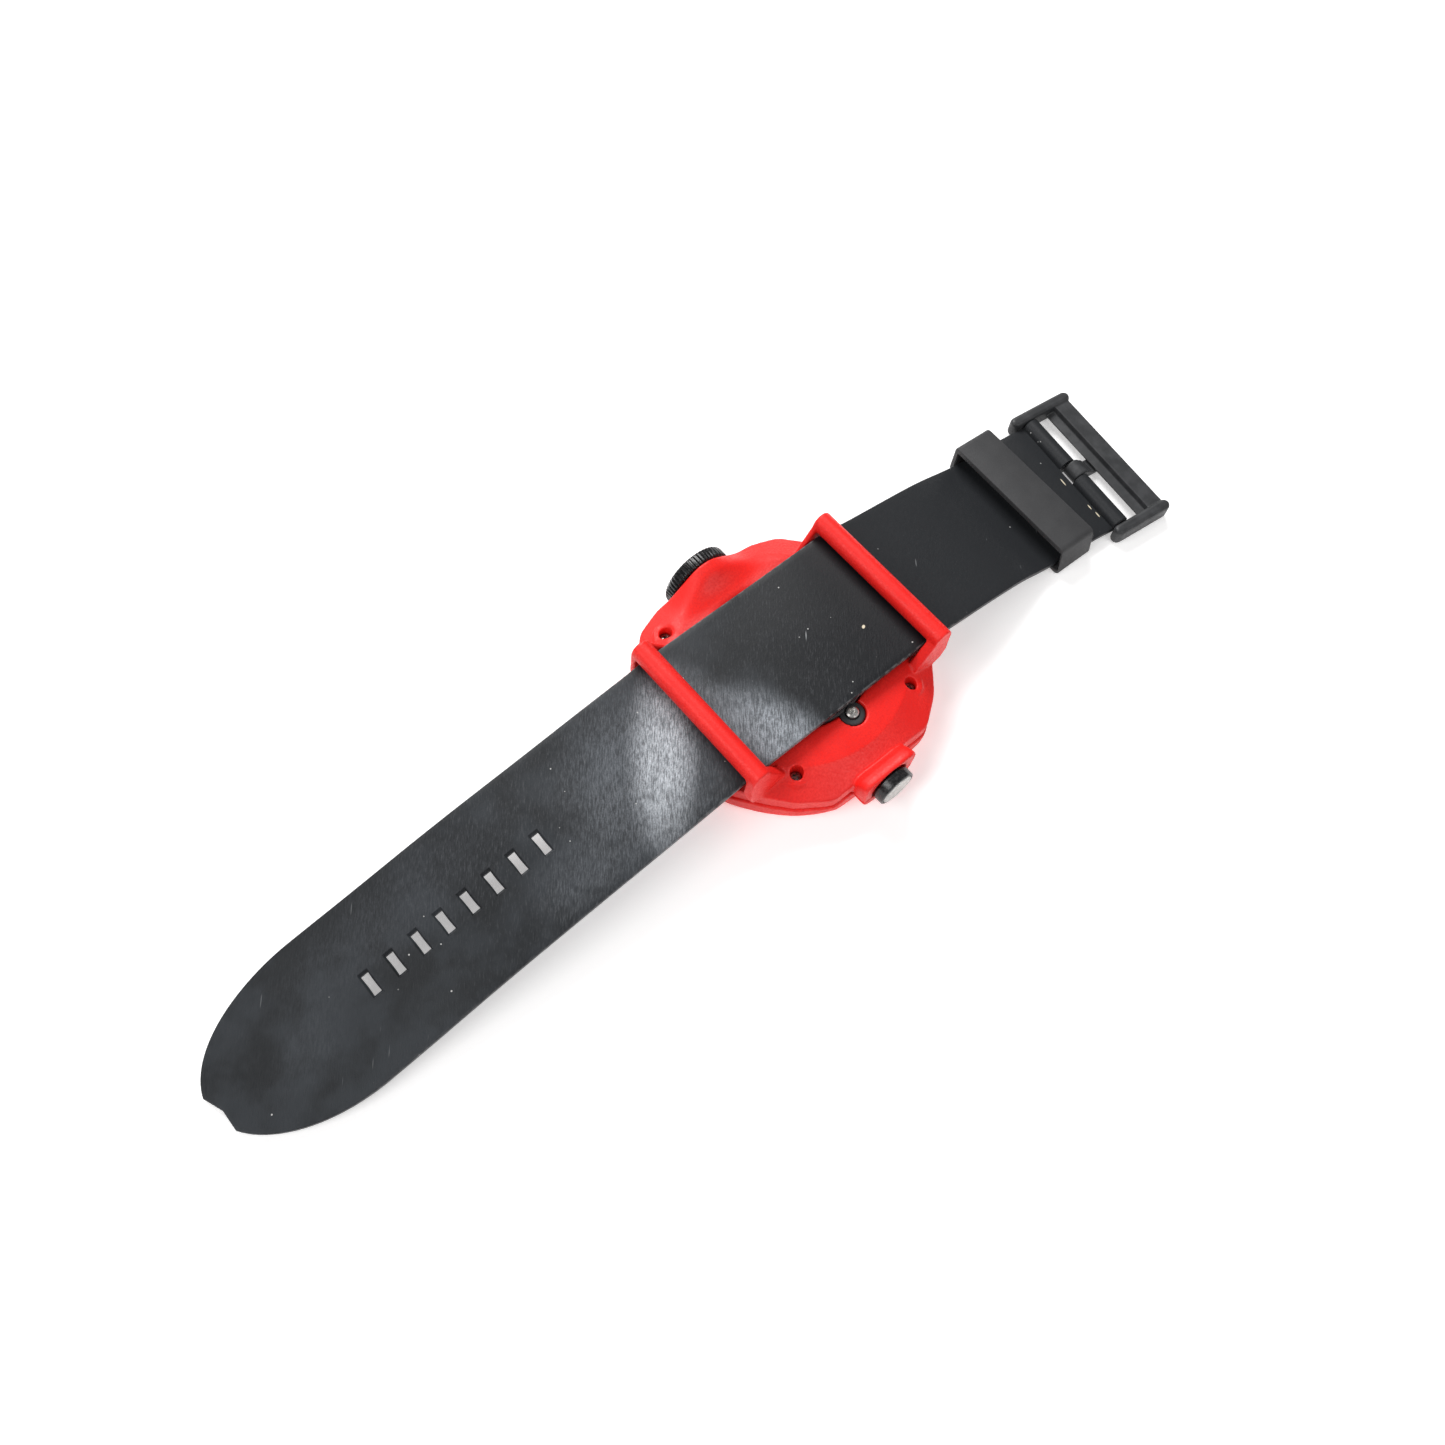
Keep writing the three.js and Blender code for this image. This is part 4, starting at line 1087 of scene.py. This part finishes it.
# ---------------------------------------------------------------- buckle
def buckle_frame():
    start, stop = PIN_X - 5.9, PIN_X + 12.8
    r = 1.5
    solids = []
    for side, shorter in ((-1, 1.4), (1, 0)):
        y = side * RAIL_HALF
        begin = start + shorter
        half_turn = np.linspace(-math.pi / 2, math.pi / 2, 13)
        right = [(stop - r + r * math.cos(a), y + r * math.sin(a)) for a in half_turn]
        left = [(begin + r - r * math.cos(a), y - r * math.sin(a)) for a in half_turn]
        plan = right + left
        mid = ((begin + stop) / 2, y)
        shrink = lambda f: [
            (mid[0] + (x - mid[0]) * (1 - f * 0.14), mid[1] + (v - mid[1]) * (1 - f))
            for x, v in plan
        ]
        levels = [(0.1, 0.45), (0.35, 0.12), (0.8, 0), (4.0, 0), (4.45, 0.12), (4.72, 0.35), (4.8, 0.6)]
        solids.append(loft("rail", [[(x, v, z) for x, v in shrink(f)] for z, f in levels]))
    inner, outer = PIN_X + 5.0, PIN_X + 12.0
    section = [
        (inner, 1.9), (outer, 1.9), (outer, 3.8), (outer - 0.4, 4.2), (inner + 2.4, 4.2),
        (inner + 2.1, 2.7), (inner, 2.4),
    ]
    bar = prism("buckle_frame_detail", section, -RAIL_HALF, RAIL_HALF, "Y")
    join(bar, *solids)
    cut(bar, pin_bore(RAIL_HALF + 0.4))
    mould(bar, TRIM_VOXEL, 2, 90_000)
    laid(bar)
    return finish_piece(bar, TRIM, "buckle", ["buckle_frame"], sharp=None)


def buckle_tongue():
    y0, y1 = TONGUE_Y - TONGUE_HALF - 0.15, TONGUE_Y + TONGUE_HALF + 0.15
    r = KNUCKLE_R
    outer, inner = PIN_X + 12.3, PIN_X + 4.3
    knuckle = lathe(
        "buckle_tongue_detail",
        [(0, y0), (r - 0.25, y0), (r, y0 + 0.25), (r, y1 - 0.25), (r - 0.25, y1), (0, y1)], 48,
        (PIN_X, PIN.z), "Y",
    )
    section = [
        (PIN_X + 0.6, 1.0), (PIN_X + 4.4, 0.45), (outer, 0.45), (outer, 1.5), (inner, 1.55),
        (PIN_X + 2.7, 3.2), (PIN_X + 0.6, 4.3),
    ]
    join(knuckle, prism("arm", section, y0 + 0.15, y1 - 0.15, "Y"))
    cut(knuckle, pin_bore(30))
    mould(knuckle, TRIM_VOXEL, 2)
    laid(knuckle)
    return finish_piece(knuckle, TRIM, "tongue", ["buckle_tongue"], sharp=None)


# ---------------------------------------------------------------- seam and display
def case_seal():
    """The rubber ring in the seam, following the case's outline."""
    low, high = span("case_seal")

    def ring(inset, z):
        return [(x, y, z) for x, y in rim_outline(-inset)]

    loops = [
        ring(0.9, low.z), ring(0.8, (low.z + high.z) / 2), ring(0.9, high.z), ring(2.0, high.z),
        ring(2.0, low.z),
    ]
    seal = loop_of_rings("case_seal_detail", loops)
    cut(
        seal, block("gap", CROWN.x - 9.5, CROWN.x + 9.5, 24, 40, 0, 20),
        block("gap", -9.5, 7, -40, -29, 0, 20),
    )
    return finish_piece(seal, SEAL, "case", ["case_seal"], sharp=30)


SEGMENTS = {
    0: "abcdef", 1: "bc", 2: "abged", 3: "abgcd", 4: "fgbc", 5: "afgcd", 6: "afgedc", 7: "abc",
    8: "abcdefg",
}


def digit(number, right, up, tall, line):
    """Seven-segment strokes of one figure, seen from below with the case's +X upwards."""
    wide = tall * 0.5
    spots = {
        "a": (0, tall, 1), "g": (0, tall / 2, 1), "d": (0, 0, 1), "f": (-wide / 2, tall * 0.75, 0),
        "b": (wide / 2, tall * 0.75, 0), "e": (-wide / 2, tall / 4, 0), "c": (wide / 2, tall / 4, 0),
    }
    strokes = []
    for key in SEGMENTS[number]:
        at_right, at_up, flat = spots[key]
        half = (wide if flat else tall / 2) / 2 - line * 0.6
        shape = [(-half, 0), (-half + line / 2, line / 2), (half - line / 2, line / 2), (half, 0),
                 (half - line / 2, -line / 2), (-half + line / 2, -line / 2)]
        points = [(b, a) if flat else (a, b) for a, b in shape]
        strokes.append([(up + at_up + a, right + at_right + b) for a, b in points])
    return strokes


def display_figures():
    """Generic readings printed as thin dark strokes under the display."""
    low, _ = span("lcd_display")
    strokes = []
    for number, right, up, tall in (
        (1, -6.6, 1.5, 8), (8, -1.2, 1.5, 8), (4, 5.0, 1.5, 8), (2, -7.2, -9.5, 6), (6, -3.2, -9.5, 6),
        (3, 3.2, -9.5, 6), (5, 7.2, -9.5, 6),
    ):
        strokes += digit(number, right, up, tall, 0.16 * tall ** 0.85)
    solids = [prism("display_figures", stroke, low.z - 0.06, low.z - 0.01) for stroke in strokes]
    first = join(solids[0], *solids[1:])
    return finish_piece(first, CHIP, "case", sharp=30)


rear_case()
front_case()
case_seal()
display_figures()
for node in SHELL_SCREWS:
    screw(node, 1.3, 0.35, NICKEL_IN_WELL_SHADE)
screw("battery_door_screw", 1.45, 0, NICKEL)
battery_door()
crown_wheel()
button()
strap_tail()
strap_buckle_side()
keeper()
buckle_frame()
buckle_tongue()

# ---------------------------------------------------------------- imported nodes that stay
KEPT = {
    "battery_door_seal": SEAL, "case_seal": SEAL, "lens_gasket": SEAL, "lcd_connector_1": SEAL,
    "lcd_connector_2": SEAL, "crown_seal": SEAL, "button_seal": SEAL, "bezel_ring": BEZEL, "dial_plate": DIAL,
    "crown_encoder": TRIM, "button_switch": TRIM, "light_guide": MILKY, "circuit_board": BOARD,
        "processor": CHIP,
    "crystal_can": STEEL, "pressure_sensor": STEEL, "coin_cell": STEEL, "crown_shaft": STEEL,
        "button_clip": STEEL,
    "buckle_pin": STEEL, "buzzer": BRASS, "cell_contact_minus": BRASS, "cell_contact_plus": BRASS,
    "lcd_display": DISPLAY, "lens": GLASS,
}
for node, material in KEPT.items():
    slots = frame["nodes"][node].data.materials
    slots.clear()
    slots.append(material)


# ---------------------------------------------------------------- stage, light and camera
FLOOR_GLOW = 0.4
WORLD_GLOW = 0.17


def stage():
    look = Look("floor_white", (0.9, 0.9, 0.9), 0.9, specular=0.1)
    look.color(look.mix(look.noise(400, 2), (0.93, 0.925, 0.925), (0.95, 0.945, 0.945)))
    look.shader.inputs["Emission Color"].default_value = (1, 0.99, 0.985, 1)
    look.shader.inputs["Emission Strength"].default_value = FLOOR_GLOW
    bm = bmesh.new()
    bmesh.ops.create_grid(bm, x_segments=2, y_segments=2, size=3)
    floor = make("floor", bm)
    floor.location.z = -0.0002
    floor.data.materials.append(look.material)


def area_light(name, at, target, size, power, color=(1, 1, 1)):
    data = bpy.data.lights.new(name, "AREA")
    data.shape = "RECTANGLE"
    data.size, data.size_y = size
    data.energy = power
    data.color = color
    lamp = bpy.data.objects.new(name, data)
    lamp.location = at
    lamp.rotation_euler = (Vector(target) - Vector(at)).to_track_quat("-Z", "Y").to_euler()
    bpy.context.scene.collection.objects.link(lamp)
    return lamp


def lighting():
    world = bpy.data.worlds.new("studio")
    world.use_nodes = True
    world.node_tree.nodes["Background"].inputs["Color"].default_value = (1, 1, 1, 1)
    world.node_tree.nodes["Background"].inputs["Strength"].default_value = WORLD_GLOW
    bpy.context.scene.world = world
    area_light("softbox_back", (0.25, 0.85, 0.85), (-0.02, 0, 0), (0.8, 0.5), 14.5)
    area_light("softbox_left", (-0.8, 0.15, 0.8), (0, 0, 0), (0.6, 0.5), 5)
    area_light("softbox_front", (0.15, -0.8, 0.85), (0, 0, 0), (0.7, 0.5), 4)


CAMERA_AT = (-0.1177, -0.0898, 0.2757)
# world to camera, x right, y down
CAMERA_TURN = (2.559054807407881, -0.9300068550817923, 0.29529327421532237)
FOCAL_SHARE = 1349.53 / 1445


def camera():
    turn = Vector(CAMERA_TURN)
    rows = Matrix.Rotation(turn.length, 3, turn.normalized())
    right, down, ahead = rows[0], rows[1], rows[2]
    data = bpy.data.cameras.new("photo_view")
    data.sensor_width = 36
    data.lens = 36 * FOCAL_SHARE
    data.clip_start = 0.01
    cam = bpy.data.objects.new("photo_view", data)
    axes = Matrix((right, -down, -ahead)).transposed()
    cam.matrix_world = Matrix.Translation(CAMERA_AT) @ axes.to_4x4()
    bpy.context.scene.collection.objects.link(cam)
    bpy.context.scene.camera = cam


stage()
lighting()
camera()
bpy.context.scene.view_settings.view_transform = "Standard"
